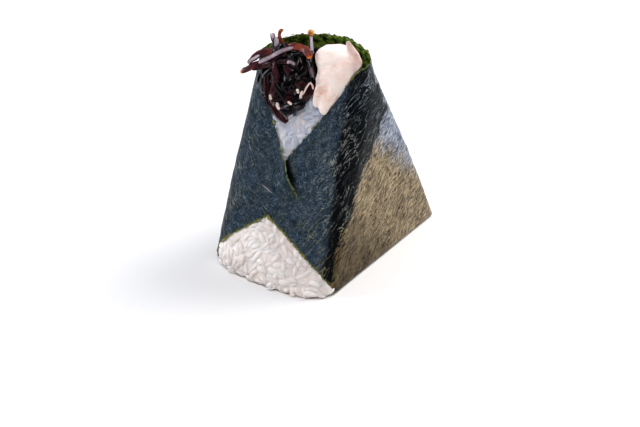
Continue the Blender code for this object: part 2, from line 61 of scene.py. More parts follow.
# ------------------------------------------------------------------ the table and the light
# The onigiri stands on a plain pale table. A wide window behind its right shoulder and the white
# room light it, while the side of the room that the viewer stands in is dark.
VIEWER = Vector((0.30272, -0.52221, 0.28944))
VIEW_DIP = 24.607
VIEW_TURN = 30.127
VIEW_LENS = 86.98
TABLE_DROP = 0.3 * MM
bpy.ops.object.select_all(action='DESELECT')
bpy.ops.mesh.primitive_plane_add(size=6, location=(0, 0, -TABLE_DROP))
table = bpy.context.object
table.name = "table"
table_paint = bpy.data.materials.new("pale_table")
table_paint.use_nodes = True
table_shader = table_paint.node_tree.nodes["Principled BSDF"]
table_shader.inputs["Base Color"].default_value = (0.80, 0.795, 0.79, 1)
table_shader.inputs["Roughness"].default_value = 0.6
table.data.materials.append(table_paint)

room = bpy.data.worlds.new("white_room")
room.use_nodes = True
room_nodes = room.node_tree.nodes
room_sky = room_nodes["Background"]
room_sky.inputs["Strength"].default_value = 0.8
room_way = room_nodes.new("ShaderNodeTexCoord")
room_facing = room_nodes.new("ShaderNodeVectorMath")
room_facing.operation = 'DOT_PRODUCT'
room_facing.inputs[1].default_value = (0.26, -0.40, 0.15)
room_half = room_nodes.new("ShaderNodeMath")
room_half.inputs[1].default_value = 0.5
room_ramp = room_nodes.new("ShaderNodeValToRGB")
room_shades = room_ramp.color_ramp.elements
room_shades.new(0.6)
room_shades.new(0.8)
for shade, place, colour in zip(room_shades, (0.3, 0.6, 0.78, 0.95), (
        (0.85, 0.90, 1.0, 1), (0.36, 0.43, 0.55, 1), (0.07, 0.10, 0.15, 1), (0.012, 0.016, 0.022, 1))):
    shade.position = place
    shade.color = colour
room.node_tree.links.new(room_way.outputs["Generated"], room_facing.inputs[0])
room.node_tree.links.new(room_facing.outputs["Value"], room_half.inputs[0])
room.node_tree.links.new(room_half.outputs[0], room_ramp.inputs["Fac"])
room.node_tree.links.new(room_ramp.outputs["Color"], room_sky.inputs["Color"])
bpy.context.scene.world = room
bpy.context.scene.view_settings.view_transform = 'Standard'

WINDOWS = (
    # name, place, size, power, colour
    ("back_window", (0.45, 0.85, 0.85), 0.8, 17.0, (1.0, 0.98, 0.96)),
    ("left_window", (-0.95, -0.30, 0.42), 0.45, 6.5, (0.92, 0.96, 1.0)),
    ("front_fill", (0.30, -0.62, 1.15), 0.5, 10.0, (1.0, 0.94, 0.90)),
)
for name, place, size, power, colour in WINDOWS:
    lamp = bpy.data.objects.new(name, bpy.data.lights.new(name, 'AREA'))
    lamp.data.size = size
    lamp.data.energy = power
    lamp.data.color = colour
    lamp.location = place
    aim = Vector((0, 0, 0.05)) - Vector(place)
    lamp.rotation_euler = aim.to_track_quat('-Z', 'Y').to_euler()
    bpy.context.scene.collection.objects.link(lamp)

camera = bpy.data.objects.new("camera", bpy.data.cameras.new("camera"))
camera.data.lens = VIEW_LENS
camera.data.sensor_width = 36
camera.location = VIEWER
camera.rotation_euler = (math.radians(90 - VIEW_DIP), 0, math.radians(VIEW_TURN))
bpy.context.scene.collection.objects.link(camera)
bpy.context.scene.camera = camera

# ------------------------------------------------------------------ the rice: its shape
# Pressed short-grain rice in a thick triangular block. This is the same shape as the solid's: a
# leaning frustum with rounded edges, told by p round it (0 to 4 along the front, right, back and
# left sides) and by the height, which is negative where the skin turns in under the base.
BASE_LENGTH = 95.9 * MM
BASE_THICK = 59.2 * MM
TOP_Z = 88.9 * MM
TOP_THICK = 49.8 * MM
TOP_FRONT_Y = -12.0 * MM
TOP_BACK_Y = -5.0 * MM
BASE_FOLD = 1.4 * MM
RICE_HEEL = 7.0 * MM
RICE_TOP = 71.5 * MM
FRONT_BULGE = 6.0 * MM
SIDE_SWELL = 0.9 * MM
FRONT_SWELL = 1.0 * MM
BACK_SWELL = 1.4 * MM
NECK_SWELL = 1.4 * MM
NECK_FROM = 56.5 * MM
BACK_CROWN = 5.6 * MM
CROWN_FROM = 59.5 * MM
LEFT_LEAN = 1.5 * MM
LEAN_FROM = 76 * MM

wrap_low, wrap_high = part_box("nori_sheet")
BODY_MIDDLE = Vector(((wrap_low.x + wrap_high.x) / 2, wrap_high.y - BASE_LENGTH / 2 + 0.6 * MM, 0))


def smooth(t):
    t = min(max(t, 0.0), 1.0)
    return t * t * (3 - 2 * t)


def mix(a, b, t):
    return a + (b - a) * t


def sharp_section(z):
    """Half thickness, front y and back y of the straight frustum at height z."""
    t = z / TOP_Z
    half = mix(BASE_THICK, TOP_THICK, t) / 2
    return half, mix(-BASE_LENGTH / 2, TOP_FRONT_Y, t), mix(BASE_LENGTH / 2, TOP_BACK_Y, t)


def full_section(z):
    """The same with its swelling faces, and the radii of its four upright edges."""
    half, front, back = sharp_section(z)
    swell = 4 * max(0.0, z / TOP_Z * (1 - z / TOP_Z))
    neck = NECK_SWELL * smooth((z - NECK_FROM) / (30 * MM))
    half += SIDE_SWELL * swell
    front -= FRONT_SWELL * swell + neck
    back += BACK_SWELL * swell + neck
    widest = 0.48 * (back - front)
    back_radius = 4.2 * MM + 0.06 * z
    radii = (8.5 * MM, 3.2 * MM + 0.135 * z, back_radius, back_radius)
    return half, front, back, [min(radius, widest) for radius in radii]


def rounded_rectangle(p, half, front, back, radii):
    side = int(p) % 4
    corners = ((-half, front), (half, front), (half, back), (-half, back))
    along = ((1, 0), (0, 1), (-1, 0), (0, -1))[side]
    outward = ((0, -1), (1, 0), (0, 1), (-1, 0))[side]
    length = 2 * half if side % 2 == 0 else back - front
    distance = (p - int(p)) * length
    near, far = radii[side], radii[(side + 1) % 4]
    turn, radius, centre = 0.0, 0.0, distance
    if distance < near:
        radius, centre = near, near
        turn = -(near - distance) / near * math.pi / 4
    elif distance > length - far:
        radius, centre = far, length - far
        turn = (distance - centre) / far * math.pi / 4
    forth = centre + radius * math.sin(turn)
    out = radius * (math.cos(turn) - 1)
    return [corners[side][i] + along[i] * forth + outward[i] * out for i in (0, 1)]


def body_point(p, height, depth, fold=BASE_FOLD):
    """A point of the body, depth inside its skin."""
    under = min(max((fold - height) / (2 * fold), 0.0), 1.0) * math.pi / 2
    inset = fold * (1 - math.cos(under)) + max(-height - fold, 0.0) * 0.6
    z = height if height > fold else fold * (1 - math.sin(under))
    half, front, back, radii = full_section(z)
    inset += depth * math.cos(under)
    radii = [max(radius - inset, 0.1 * MM) for radius in radii]
    x, y = rounded_rectangle(p, half - inset, front + inset, back - inset, radii)
    crown = 0.0
    if 2 < p < 3:
        crown = BACK_CROWN * smooth((z - CROWN_FROM) / (28 * MM))
        crown *= math.sin((p - 2) ** 0.78 * math.pi) ** 1.3
    elif p >= 3:
        x -= LEFT_LEAN * smooth((z - LEAN_FROM) / (12 * MM)) * math.sin((p - 3) * math.pi)
    return BODY_MIDDLE + Vector((x, y + crown, z + depth * math.sin(under) + 0.45 * crown))


# The nori, laid flat in a plane of complex numbers whose real part runs from the back round to
# the front, says where the rice is bare. An upright edge is given in the plane of each face
# that meets in it, and a point is carried from plane to plane about those edges.
SIDE_SLANT = math.hypot(1, (BASE_THICK - TOP_THICK) / 2 / TOP_Z)
FRONT_SLANT = math.hypot(1, (TOP_FRONT_Y + BASE_LENGTH / 2) / TOP_Z)
BACK_SLANT = math.hypot(1, (BASE_LENGTH / 2 - TOP_BACK_Y) / TOP_Z)
BACK_EDGE_ON_BACK = (complex(BASE_THICK / 2, 0), complex(TOP_THICK / 2, TOP_Z * BACK_SLANT))
BACK_EDGE_ON_SIDE = (complex(-BASE_LENGTH / 2, 0), complex(-TOP_BACK_Y, TOP_Z * SIDE_SLANT))
FRONT_EDGE_ON_SIDE = (complex(BASE_LENGTH / 2, 0), complex(-TOP_FRONT_Y, TOP_Z * SIDE_SLANT))
FRONT_EDGE_ON_FRONT = (complex(-BASE_THICK / 2, 0), complex(-TOP_THICK / 2, TOP_Z * FRONT_SLANT))
SHEET_LEFT = 98.8 * MM
SHEET_RIGHT = 105.2 * MM
SHEET_HEIGHT = 105.0 * MM
SHEET_TOP_AT_CENTRE = 104.7 * MM
SHEET_TURN = complex(math.cos(math.radians(1.1)), math.sin(math.radians(1.1)))
END_SLANT = 0.09


def carry(point, edge, same_edge):
    turn = (same_edge[1] - same_edge[0]) / (edge[1] - edge[0])
    return same_edge[0] + (point - edge[0]) * turn


def front_x(p, height):
    """How far to the right of the middle a place on the front face lies."""
    return (2 * p - 1) * sharp_section(height)[0]


def unwrap_front(x, height, side):
    """The flat place of a point of the front face, on the right (1) or left (-1) flap."""
    point = complex(-x * side, height * FRONT_SLANT)
    point = carry(point, FRONT_EDGE_ON_FRONT, FRONT_EDGE_ON_SIDE)
    point = carry(point, BACK_EDGE_ON_SIDE, BACK_EDGE_ON_BACK)
    return complex(point.real * side, point.imag)


def unwrap_side(y, height, side):
    point = carry(complex(-y, height * SIDE_SLANT), BACK_EDGE_ON_SIDE, BACK_EDGE_ON_BACK)
    return complex(point.real * side, point.imag)


def sheet_frame(flat):
    """Distances past the sheet's right end, left end and top, negative on the sheet."""
    local = (flat - complex(0, SHEET_TOP_AT_CENTRE)) / SHEET_TURN
    return local.real - SHEET_RIGHT, END_SLANT * local.imag - SHEET_LEFT - local.real, local.imag


def past_flap(flat, side):
    right, left, top = sheet_frame(flat)
    return max(right if side > 0 else left, top, -top - SHEET_HEIGHT)


def bare_at(p, height):
    """How far a place on the body lies from the nearest nori, negative under it."""
    if p < 1:
        x = front_x(p, height)
        return min(past_flap(unwrap_front(x, height, side), side) for side in (1, -1))
    if 2 <= p <= 3:
        return -height * BACK_SLANT - 0.5 * MM
    side = 1 if p < 2 else -1
    _, front, back = sharp_section(height)
    y = mix(front, back, p - 1 if side > 0 else 4 - p)
    return past_flap(unwrap_side(y, height, side), side)


def rice_skin(p, height):
    """The rice's outline, which bulges where it is bare at the front's foot."""
    heel = mix(RICE_HEEL, BASE_FOLD, smooth((p - 0.1) / 0.6)) if p < 1 else BASE_FOLD
    if p > 3.6:
        heel = mix(BASE_FOLD, RICE_HEEL, smooth((p - 3.6) / 0.3))
    place = body_point(p, height, 0, heel)
    outward = (body_point(p, height, -1 * MM, heel) - place) / MM
    bulge = 0.0
    if p < 1 and height > -heel:
        low = smooth((24 * MM - height) / (15 * MM))
        across = math.sin(p ** 1.5 * math.pi) ** 0.7
        bulge = FRONT_BULGE * smooth(bare_at(p, height) / (10 * MM)) * low * across
    place += outward * bulge
    place.z = max(place.z, 0)
    return place


# ------------------------------------------------------------------ the rice: its core
# The inside of the block, where grains are pressed so close that none stands out. It is the
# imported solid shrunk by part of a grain's thickness, and is only glimpsed between the grains.
RICE_CORE_DEPTH = 0.4 * MM
CORE_VOXEL = 0.9 * MM
CORE_ROUGHNESS = 0.3 * MM
CORE_TONE = 0.25
SHADE_FROM = 34 * MM


def select_only(thing):
    bpy.ops.object.select_all(action='DESELECT')
    bpy.context.view_layer.objects.active = thing
    thing.select_set(True)


def modify(thing, kind, **settings):
    """Adds a modifier to the active object and applies it."""
    modifier = thing.modifiers.new(kind, kind)
    for key, value in settings.items():
        setattr(modifier, key, value)
    bpy.ops.object.modifier_apply(modifier=modifier.name)


def taken_over(node, name, voxel, swell):
    """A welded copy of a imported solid, made even by a remesh and swollen or shrunk a little."""
    copy = bpy.data.objects.new(name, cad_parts[node].data.copy())
    bpy.context.scene.collection.objects.link(copy)
    copy.data.materials.clear()
    bm = bmesh.new()
    bm.from_mesh(copy.data)
    bmesh.ops.remove_doubles(bm, verts=bm.verts, dist=0.01 * MM)
    bm.to_mesh(copy.data)
    bm.free()
    select_only(copy)
    modify(copy, 'REMESH', mode='VOXEL', voxel_size=voxel)
    modify(copy, 'SMOOTH', iterations=6)
    modify(copy, 'DISPLACE', strength=swell, mid_level=0)
    bpy.ops.object.shade_smooth()
    return copy


class Nodes:
    """A node tree, with short ways to add the nodes that a paint is made of."""

    def __init__(self, tree):
        self.tree = tree

    def feed(self, socket, value):
        """Gives a socket a fixed value or another node's output."""
        if isinstance(value, bpy.types.NodeSocket):
            self.tree.links.new(value, socket)
        else:
            socket.default_value = (*value, 1) if socket.type == 'RGBA' else value

    def add(self, kind, **settings):
        """A node with its settings: a lower-case name is an option, any other is a socket."""
        node = self.tree.nodes.new("ShaderNode" + kind)
        for key, value in settings.items():
            if key.islower():
                setattr(node, key, value)
            else:
                self.feed(node.inputs[key], value)
        return node

    def ramp(self, source, *stops):
        """A colour ramp from (place, colour) stops, fed by a source socket."""
        node = self.add("ValToRGB", Fac=source)
        elements = node.color_ramp.elements
        while len(elements) < len(stops):
            elements.new(0.5)
        for element, (place, colour) in zip(elements, stops):
            element.position = place
            element.color = (*colour, 1) if isinstance(colour, tuple) else (colour, colour, colour, 1)
        return node.outputs["Color"]

    def cloud(self, vector, scale, detail=3.0, roughness=0.5):
        node = self.add("TexNoise", Vector=vector, Scale=scale, Detail=detail, Roughness=roughness)
        return node.outputs["Fac"]

    def streaks(self, vector, along, across, detail, roughness):
        """A cloud drawn out into streaks."""
        drawn_out = self.add("Mapping", Vector=vector, Scale=(along, across, 1.0)).outputs["Vector"]
        return self.cloud(drawn_out, 1.0, detail, roughness)

    def blend(self, amount, under, over):
        """The colour under, covered by over where amount is 1."""
        return self.add("MixRGB", Fac=amount, Color1=under, Color2=over).outputs["Color"]

    def reckon(self, operation, *values):
        node = self.add("Math", operation=operation)
        for socket, value in zip(node.inputs, values):
            self.feed(socket, value)
        return node.outputs[0]


class Paint(Nodes):
    """A material with its node tree and its shader."""

    def __init__(self, name):
        self.material = bpy.data.materials.new(name)
        self.material.use_nodes = True
        super().__init__(self.material.node_tree)

    def place(self):
        """Each point's own place on the piece."""
        return self.add("TexCoord").outputs["Object"]

    def mark(self, name):
        """A value that the mesh carries for each point."""
        return self.add("Attribute", attribute_name=name).outputs["Fac"]

    def relief(self, height, distance, strength=1.0):
        return self.add("Bump", Strength=strength, Distance=distance, Height=height).outputs["Normal"]

    def finish(self, **settings):
        """Sets the shader's sockets, whose names are given with _ for a space."""
        for key, value in settings.items():
            self.feed(self.tree.nodes["Principled BSDF"].inputs[key.replace("_", " ")], value)


rice_paint = Paint("cooked_rice")
rice_place = rice_paint.place()
rice_tone = rice_paint.reckon('MULTIPLY_ADD', rice_paint.cloud(rice_place, 260.0), 0.6,
                              rice_paint.mark("tone"))
# The ramp's low, bluish end is painted shade, used high in the neck.
rice_paint.finish(
    Base_Color=rice_paint.ramp(rice_tone, (0.10, (0.43, 0.46, 0.55)), (0.45, (0.74, 0.655, 0.61)),
                               (0.75, (0.82, 0.75, 0.71)), (1.0, (0.87, 0.82, 0.79))),
    Roughness=0.45, Specular_IOR_Level=0.22, Subsurface_Weight=0.4, Subsurface_Radius=(1.0, 0.85, 0.75),
    Subsurface_Scale=0.0008, Normal=rice_paint.relief(rice_paint.cloud(rice_place, 900.0), 0.00012, 0.5))


def with_normals(mesh):
    """Each point of a mesh with its normal, all normals taken before anything moves."""
    return list(zip(mesh.vertices, [v.normal.copy() for v in mesh.vertices]))


def in_shade(place, tone):
    """A tone for the rice at a place. High in the narrow neck it is darker and bluer, a painted shade."""
    return mix(tone, 0.35 * tone - 0.29, smooth((place.z - SHADE_FROM) / (10 * MM)))


rice_core = taken_over("rice_ball", "rice_core", CORE_VOXEL, -RICE_CORE_DEPTH)
for v, outward in with_normals(rice_core.data):
    v.co += outward * CORE_ROUGHNESS * noise.noise(v.co / (4 * MM))
rice_core_tone = rice_core.data.attributes.new("tone", 'FLOAT', 'POINT')
rice_core_tone.data.foreach_set("value", [in_shade(v.co, CORE_TONE) for v in rice_core.data.vertices])
rice_core.data.materials.append(rice_paint.material)
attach(rice_core, "root")
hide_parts("rice_ball")

# ------------------------------------------------------------------ the rice: its grains
# Cooked short grains, about 7.5 mm by 3 mm, that lie every way over the bare rice: the front's
# foot, the open neck and the flat underside. They are pressed half into each other and the core.
GRAIN_LENGTH = 7.8 * MM
GRAIN_WIDTH = 3.3 * MM
GRAIN_SPACING = 1.95 * MM
GRAIN_TRIALS = 26000
LOOSE_SPACING = 3.0 * MM
UNDERSIDE_TRIALS = 5000
UNDERSIDE_HEIGHT = 1.25 * MM
TOP_TRIALS = 1500
# Each kind's bend, taper and flatness.
GRAIN_KINDS = ((0.00, 0.10, 0.80), (0.22, -0.08, 0.72), (0.34, 0.05, 0.76), (0.12, -0.14, 0.84))


def added(primitive, **settings):
    """The object that a primitive's call adds, which alone is selected."""
    bpy.ops.object.select_all(action='DESELECT')
    primitive(**settings)
    return bpy.context.object


def model_grain(bend, taper, flat):
    """One plump grain along x, blunt at its ends, slightly bent and with one end the thinner."""
    grain = added(bpy.ops.mesh.primitive_uv_sphere_add, segments=8, ring_count=6, radius=GRAIN_WIDTH / 2)
    bpy.ops.object.mode_set(mode='EDIT')
    bpy.ops.mesh.select_all(action='SELECT')
    bpy.ops.transform.rotate(value=math.pi / 2, orient_axis='Y', center_override=(0, 0, 0))
    bpy.ops.transform.resize(value=(GRAIN_LENGTH / GRAIN_WIDTH, 1, flat), center_override=(0, 0, 0))
    bpy.ops.object.mode_set(mode='OBJECT')
    for v in grain.data.vertices:
        t = 2 * v.co.x / GRAIN_LENGTH
        v.co.x = math.copysign(abs(t) ** 0.88, t) * GRAIN_LENGTH / 2
        v.co.y *= 1 + taper * t
        v.co.z = v.co.z * (1 + taper * t) + bend * GRAIN_WIDTH * (0.5 - t * t)
    shape = grain.data
    bpy.data.objects.remove(grain)
    return shape


class Joined:
    """Copies of modelled pieces, gathered in one mesh that carries a tone for each point."""

    def __init__(self):
        self.bm = bmesh.new()
        self.tone = self.bm.verts.layers.float.new("tone")
        self.cells = {}

    def add(self, kind, put):
        """Adds a copy of kind. put turns a point of it into its place and its tone."""
        start = len(self.bm.verts)
        self.bm.from_mesh(kind)
        self.bm.verts.ensure_lookup_table()
        for v in self.bm.verts[start:]:
            v.co, v[self.tone] = put(v.co)

    def has_room(self, place, gap):
        """Whether nothing lies closer to a place than gap, which is then taken."""
        key = tuple(math.floor(c / gap) for c in place)
        for step in itertools.product((-1, 0, 1), repeat=3):
            cell = tuple(k + i for k, i in zip(key, step))
            if any((other - place).length < gap for other in self.cells.get(cell, ())):
                return False
        self.cells.setdefault(key, []).append(place)
        return True

    def as_object(self, name):
        """The joined mesh as an object, which alone is selected."""
        mesh = bpy.data.meshes.new(name)
        self.bm.to_mesh(mesh)
        self.bm.free()
        thing = bpy.data.objects.new(name, mesh)
        bpy.context.scene.collection.objects.link(thing)
        select_only(thing)
        return thing

    def finish(self, name, paint, slot, angle=180):
        """The joined mesh as a piece of the model."""
        thing = self.as_object(name)
        thing.data.materials.append(paint.material)
        bpy.ops.object.shade_smooth_by_angle(angle=math.radians(angle))
        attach(thing, "root")
        return thing


grain_kinds = [model_grain(*kind) for kind in GRAIN_KINDS]


def lay_grain(heap, place, outward, dice, lean):
    """A copy of a grain, lying on its side at a place and turned any way about outward."""
    turn = outward.to_track_quat('Z', 'X').to_matrix()
    turn = turn @ Matrix.Rotation(dice.uniform(0, 2 * math.pi), 3, 'Z')
    turn = turn @ Matrix.Rotation(dice.uniform(-lean, lean), 3, 'Y')
    turn = turn @ Matrix.Rotation(dice.uniform(-0.5, 0.5), 3, 'X')
    turn = turn @ Matrix.Diagonal([dice.uniform(0.8, 1.12) for _ in range(3)])
    tone = in_shade(place, dice.uniform(0.15, 0.65))
    heap.add(dice.choice(grain_kinds), lambda point: (place + turn @ point, tone))


def sunk_in_core(place, sink):
    """The point that lies sink under the core's surface near a place, and the way out of it."""
    _, spot, outward, _ = rice_core.closest_point_on_mesh(place)
    return spot - outward * sink, outward


dice = random.Random(11)
bare_places = []
for _ in range(GRAIN_TRIALS):
    p = dice.uniform(0, 1) if dice.random() < 0.72 else dice.uniform(3.55, 4)
    height = dice.uniform(-44, 71) * MM
    bare = bare_at(p, height)
    if bare > -0.8 * MM and (p < 1 or height < 40 * MM):
        bare_places.append((p, height, bare))
grains = Joined()
bpy.context.view_layer.update()
for p, height, bare in bare_places:
    well_inside = smooth(bare / (4 * MM))
    skin = rice_skin(p, height)
    place, outward = sunk_in_core(skin, dice.uniform(0.85, mix(1.5, 1.3, well_inside)) * MM)
    if (place - skin).length < 3 * MM and grains.has_room(place, GRAIN_SPACING):
        lay_grain(grains, place, outward, dice, mix(0.03, 0.15, well_inside) if height > 0 else 0.03)
# The underside further back, where the sheet's ends leave the middle bare.
for _ in range(UNDERSIDE_TRIALS):
    x, y = dice.uniform(-25, 25) * MM, dice.uniform(-38, 40) * MM
    reach = BASE_THICK / 2 - abs(x)
    along = (y + BASE_LENGTH / 2) / BASE_LENGTH
    if reach > 4 * MM and bare_at(1 + along if x > 0 else 4 - along, -reach / 0.6) > 1.2 * MM:
        place = BODY_MIDDLE + Vector((x, y, UNDERSIDE_HEIGHT))
        if grains.has_room(place, LOOSE_SPACING):
            lay_grain(grains, place, Vector((0, 0, -1)), dice, 0.05)
# The top of the block, round the feet of the toppings.
for _ in range(TOP_TRIALS):
    place = body_point(dice.uniform(0, 4), RICE_TOP, dice.uniform(4, 14) * MM)
    place.z = RICE_TOP - 0.3 * MM
    if grains.has_room(place, LOOSE_SPACING):
        lay_grain(grains, place, Vector((0, 0, 1)), dice, 0.2)
for v in grains.bm.verts:
    v.co.z = max(v.co.z, 0.02 * MM)
    v.co.y = max(v.co.y, cad_box[0][1])
grains.finish("rice_grains", rice_paint, "rice")

# ------------------------------------------------------------------ the nori
# A half sheet of pressed and toasted seaweed, a quarter of a millimetre thick, wrapped round the
# block with its left end over its right one. It starts as a flat grid, which is bent round, and
# the wet tip of its left end clings to the right flap.
SHEET_CELLS = (290, 148)
NORI_THICK = 0.26 * MM
RIM_DIPS = ((-27 * MM, 3.6 * MM), (24 * MM, 2.6 * MM))
FLAP_LIFT = 0.9 * MM
EDGE_LIFT = 1.3 * MM
SLIT_DEPTH = 0.7 * MM
BROAD_WAVES = 0.26 * MM
CREASES = 0.2 * MM
WAVES_SINK = 0.08 * MM
TEAR_DEPTH = 0.5 * MM
OLIVE_WIDTH = 3.4 * MM
RIM_OLIVE_WIDTH = 1.2 * MM
# The heights at which the right face's painted reflections and its painted dark band begin, and how
# ragged their limits are.
GOLD_BELOW = 49 * MM
BROWN_BELOW = 5 * MM
DARK_FROM = 17 * MM
DARKEST_FROM = 50 * MM
RAGGEDNESS = 5 * MM
# The flat map's unit is 100 mm of the sheet.
FLAT_UNIT = 0.1


def is_past(point, edge):
    return ((point - edge[0]) * (edge[1] - edge[0]).conjugate()).imag < 0


def wrap(flat):
    """The place (p, height) on the body of a point of the unrolled plane."""
    point = complex(abs(flat.real), flat.imag)
    if not is_past(point, BACK_EDGE_ON_BACK):
        height = point.imag / BACK_SLANT
        p = 2.5 - point.real / sharp_section(height)[0] / 2
    else:
        point = carry(point, BACK_EDGE_ON_BACK, BACK_EDGE_ON_SIDE)
        if not is_past(point, FRONT_EDGE_ON_SIDE):
            height = point.imag / SIDE_SLANT
            _, front, back = sharp_section(height)
            p = 1 + (-point.real - front) / (back - front)
        else:
            point = carry(point, FRONT_EDGE_ON_SIDE, FRONT_EDGE_ON_FRONT)
            height = point.imag / FRONT_SLANT
            half = sharp_section(height)[0]
            p = (half - point.real) / half / 2
    if flat.real < 0:
        p = (5 - p) % 4 if p >= 1 else 1 - p
    return p, height


def ripple(flat, wide, tall, seed):
    """Smooth noise over the flat sheet, between -1 and 1, with waves of a size in mm."""
    return noise.noise(Vector((flat.real / (wide * MM), flat.imag / (tall * MM), seed)))


def over_right_flap(p, height):
    """How far a place on the body lies from the right flap, or far off where it isn't in front."""
    return past_flap(unwrap_front(front_x(p, height), height, 1), 1) if 0 < p < 1 else 99 * MM


def lie_of(flat):
    """How far the sheet stands off the body at a flat place, and how deep in the slit it is."""
    p, height = wrap(flat)
    over_right = over_right_flap(p, height)
    calm = smooth((height + 3 * MM) / (9 * MM))
    creases = ripple(flat, 7, 2.6, 4.1) + 0.5 * ripple(flat, 3.4, 1.6, 9.4)
    rise, shade = 0.0, 0.0
    if flat.real < 0:
        _, left_end, top = sheet_frame(flat)
        stuck = smooth((-left_end - 0.5 * MM) / (9 * MM))
        lift = FLAP_LIFT * (1 - smooth((over_right - 2 * MM) / (7 * MM)))
        loose = smooth(1 + top / (9 * MM)) * smooth(-over_right / (5 * MM))
        rise = (lift + EDGE_LIFT * loose) * mix(stuck, 1, smooth(over_right / (3 * MM)))
        free = mix(smooth(-left_end / (7 * MM)), 1, smooth(over_right / (5 * MM)))
        rise += 0.04 * MM * smooth(1 - over_right / MM)
    elif 0 < p < 1:
        _, left_end, top = sheet_frame(unwrap_front(front_x(p, height), height, -1))
        free = smooth(max(left_end, top) / (5 * MM))
        shade = smooth(1 - top / (2.4 * MM)) * smooth((-left_end - 1.5 * MM) / (9 * MM))
        rise = -SLIT_DEPTH * shade
    else:
        free = 1.0
    rise += calm * free * (BROAD_WAVES * ripple(flat, 10, 8, 0.3) + CREASES * creases - WAVES_SINK)
    return p, height, rise, shade


def sheet_place(along, below, inward=0j):
    """The flat place of a point of the sheet, from its own sides, with the dips in its rim."""
    flat = (complex(along, below) + inward) * SHEET_TURN
    dip = sum(deep * smooth(1 - abs(flat.real - place) / (15 * MM)) for place, deep in RIM_DIPS)
    flat -= complex(0, dip * max(1 + below / (12 * MM), 0)) * SHEET_TURN
    return flat + complex(0, SHEET_TOP_AT_CENTRE)


nori = added(bpy.ops.mesh.primitive_grid_add, x_subdivisions=SHEET_CELLS[0], y_subdivisions=SHEET_CELLS[1],
             size=1)
nori.name = "nori_wrapping"
flat_places = []
marks = {name: [] for name in ("reflection_warmth", "sheen", "edge", "shade", "glints_and_dark_band")}
for v in nori.data.vertices:
    to_side, to_top = 0.5 - abs(v.co.x), 0.5 - abs(v.co.y)
    below = (v.co.y - 0.5) * SHEET_HEIGHT
    along = mix(END_SLANT * below - SHEET_LEFT, SHEET_RIGHT, v.co.x + 0.5)
    on_grid = complex(along, below)
    tear = ripple(on_grid, 1.9, 1.9, 7.7) + 0.7 * ripple(on_grid, 0.8, 0.8, 2.2)
    tear = TEAR_DEPTH * (tear + 0.35) * smooth(1 - min(to_side, to_top) / 0.012)
    inward = complex(-math.copysign(tear, v.co.x), 0)
    if to_top < to_side:
        inward = complex(0, -math.copysign(tear, v.co.y))
    flat = sheet_place(along, below, inward)
    p, height, rise, shade = lie_of(flat)
    v.co = body_point(p, height, -rise)
    flat_places.append(flat)
    marks["shade"].append(shade)
    past_right, past_left, past_top = sheet_frame(flat)
    near_end = smooth(1 - min(abs(past_right), abs(past_left)) / OLIVE_WIDTH)
    if flat.real < 0:
        near_end *= smooth(over_right_flap(p, height) / MM + 1)
    near_end *= 0.55 + 0.45 * smooth((42 * MM - height) / (10 * MM))
    marks["edge"].append(max(near_end, 0.5 * smooth(1 - abs(past_top) / RIM_OLIVE_WIDTH)))
    # The right face's painted sheen, a painted reflection, goes from silver through gold to brown,
    # behind a rounded edge darkened with painted shade.
    y, z = v.co.y - BODY_MIDDLE.y, v.co.z
    ragged_line = RAGGEDNESS * ripple(on_grid, 9, 2.5, 1.7)
    golden = smooth((GOLD_BELOW - 0.7 * y - z + ragged_line) / (18 * MM) + 0.5)
    brownish = smooth((BROWN_BELOW - 0.62 * y - z + ragged_line) / (28 * MM) + 0.5)
    marks["reflection_warmth"].append(0.5 * golden + 0.5 * brownish)
    _, front, back = sharp_section(z)
    dark_width = 0.5 * max(z - DARK_FROM, 0) + 0.2 * max(z - DARKEST_FROM, 0)
    dark_width = min(dark_width, 0.85 * (back - front))
    past_dark = y - front - dark_width + ragged_line
    on_right = smooth((p - 0.96) / 0.08) * smooth((2.12 - p) / 0.1)
    marks["sheen"].append(on_right * smooth(past_dark / (10 * MM) + 0.5))
    # How strong the painted glint lines are, and above 0.45 how much darker the sheet is painted: nearly
    # black with painted shade along the rounded edge before the right face, somewhat darker round the back
    # and left.
    ragged = p + ragged_line / BASE_THICK / 2
    glints_and_dark_band = 0.45 * smooth((ragged - 0.62) / 0.2) + 0.55 * smooth((ragged - 0.87) / 0.07)
    glints_and_dark_band = mix(glints_and_dark_band, 0.62, smooth((ragged - 1.9) / 0.4))
    if p <= 0.3:
        glints_and_dark_band = 0.55 * smooth((0.27 - p) / 0.2)
    marks["glints_and_dark_band"].append(glints_and_dark_band)
for name, values in marks.items():
    nori.data.attributes.new(name, 'FLOAT', 'POINT').data.foreach_set("value", values)
bm = bmesh.new()
bm.from_mesh(nori.data)
bmesh.ops.recalc_face_normals(bm, faces=bm.faces)
probe = min(bm.faces, key=lambda f: (f.calc_center_median() - Vector((0.03, 0, 0.03))).length)
if probe.normal.x < 0:
    bmesh.ops.reverse_faces(bm, faces=bm.faces)
flat_map = bm.loops.layers.uv.verify()
for f in bm.faces:
    for loop in f.loops:
        flat = flat_places[loop.vert.index]
        loop[flat_map].uv = (flat.real / FLAT_UNIT, flat.imag / FLAT_UNIT)
bm.to_mesh(nori.data)
bm.free()


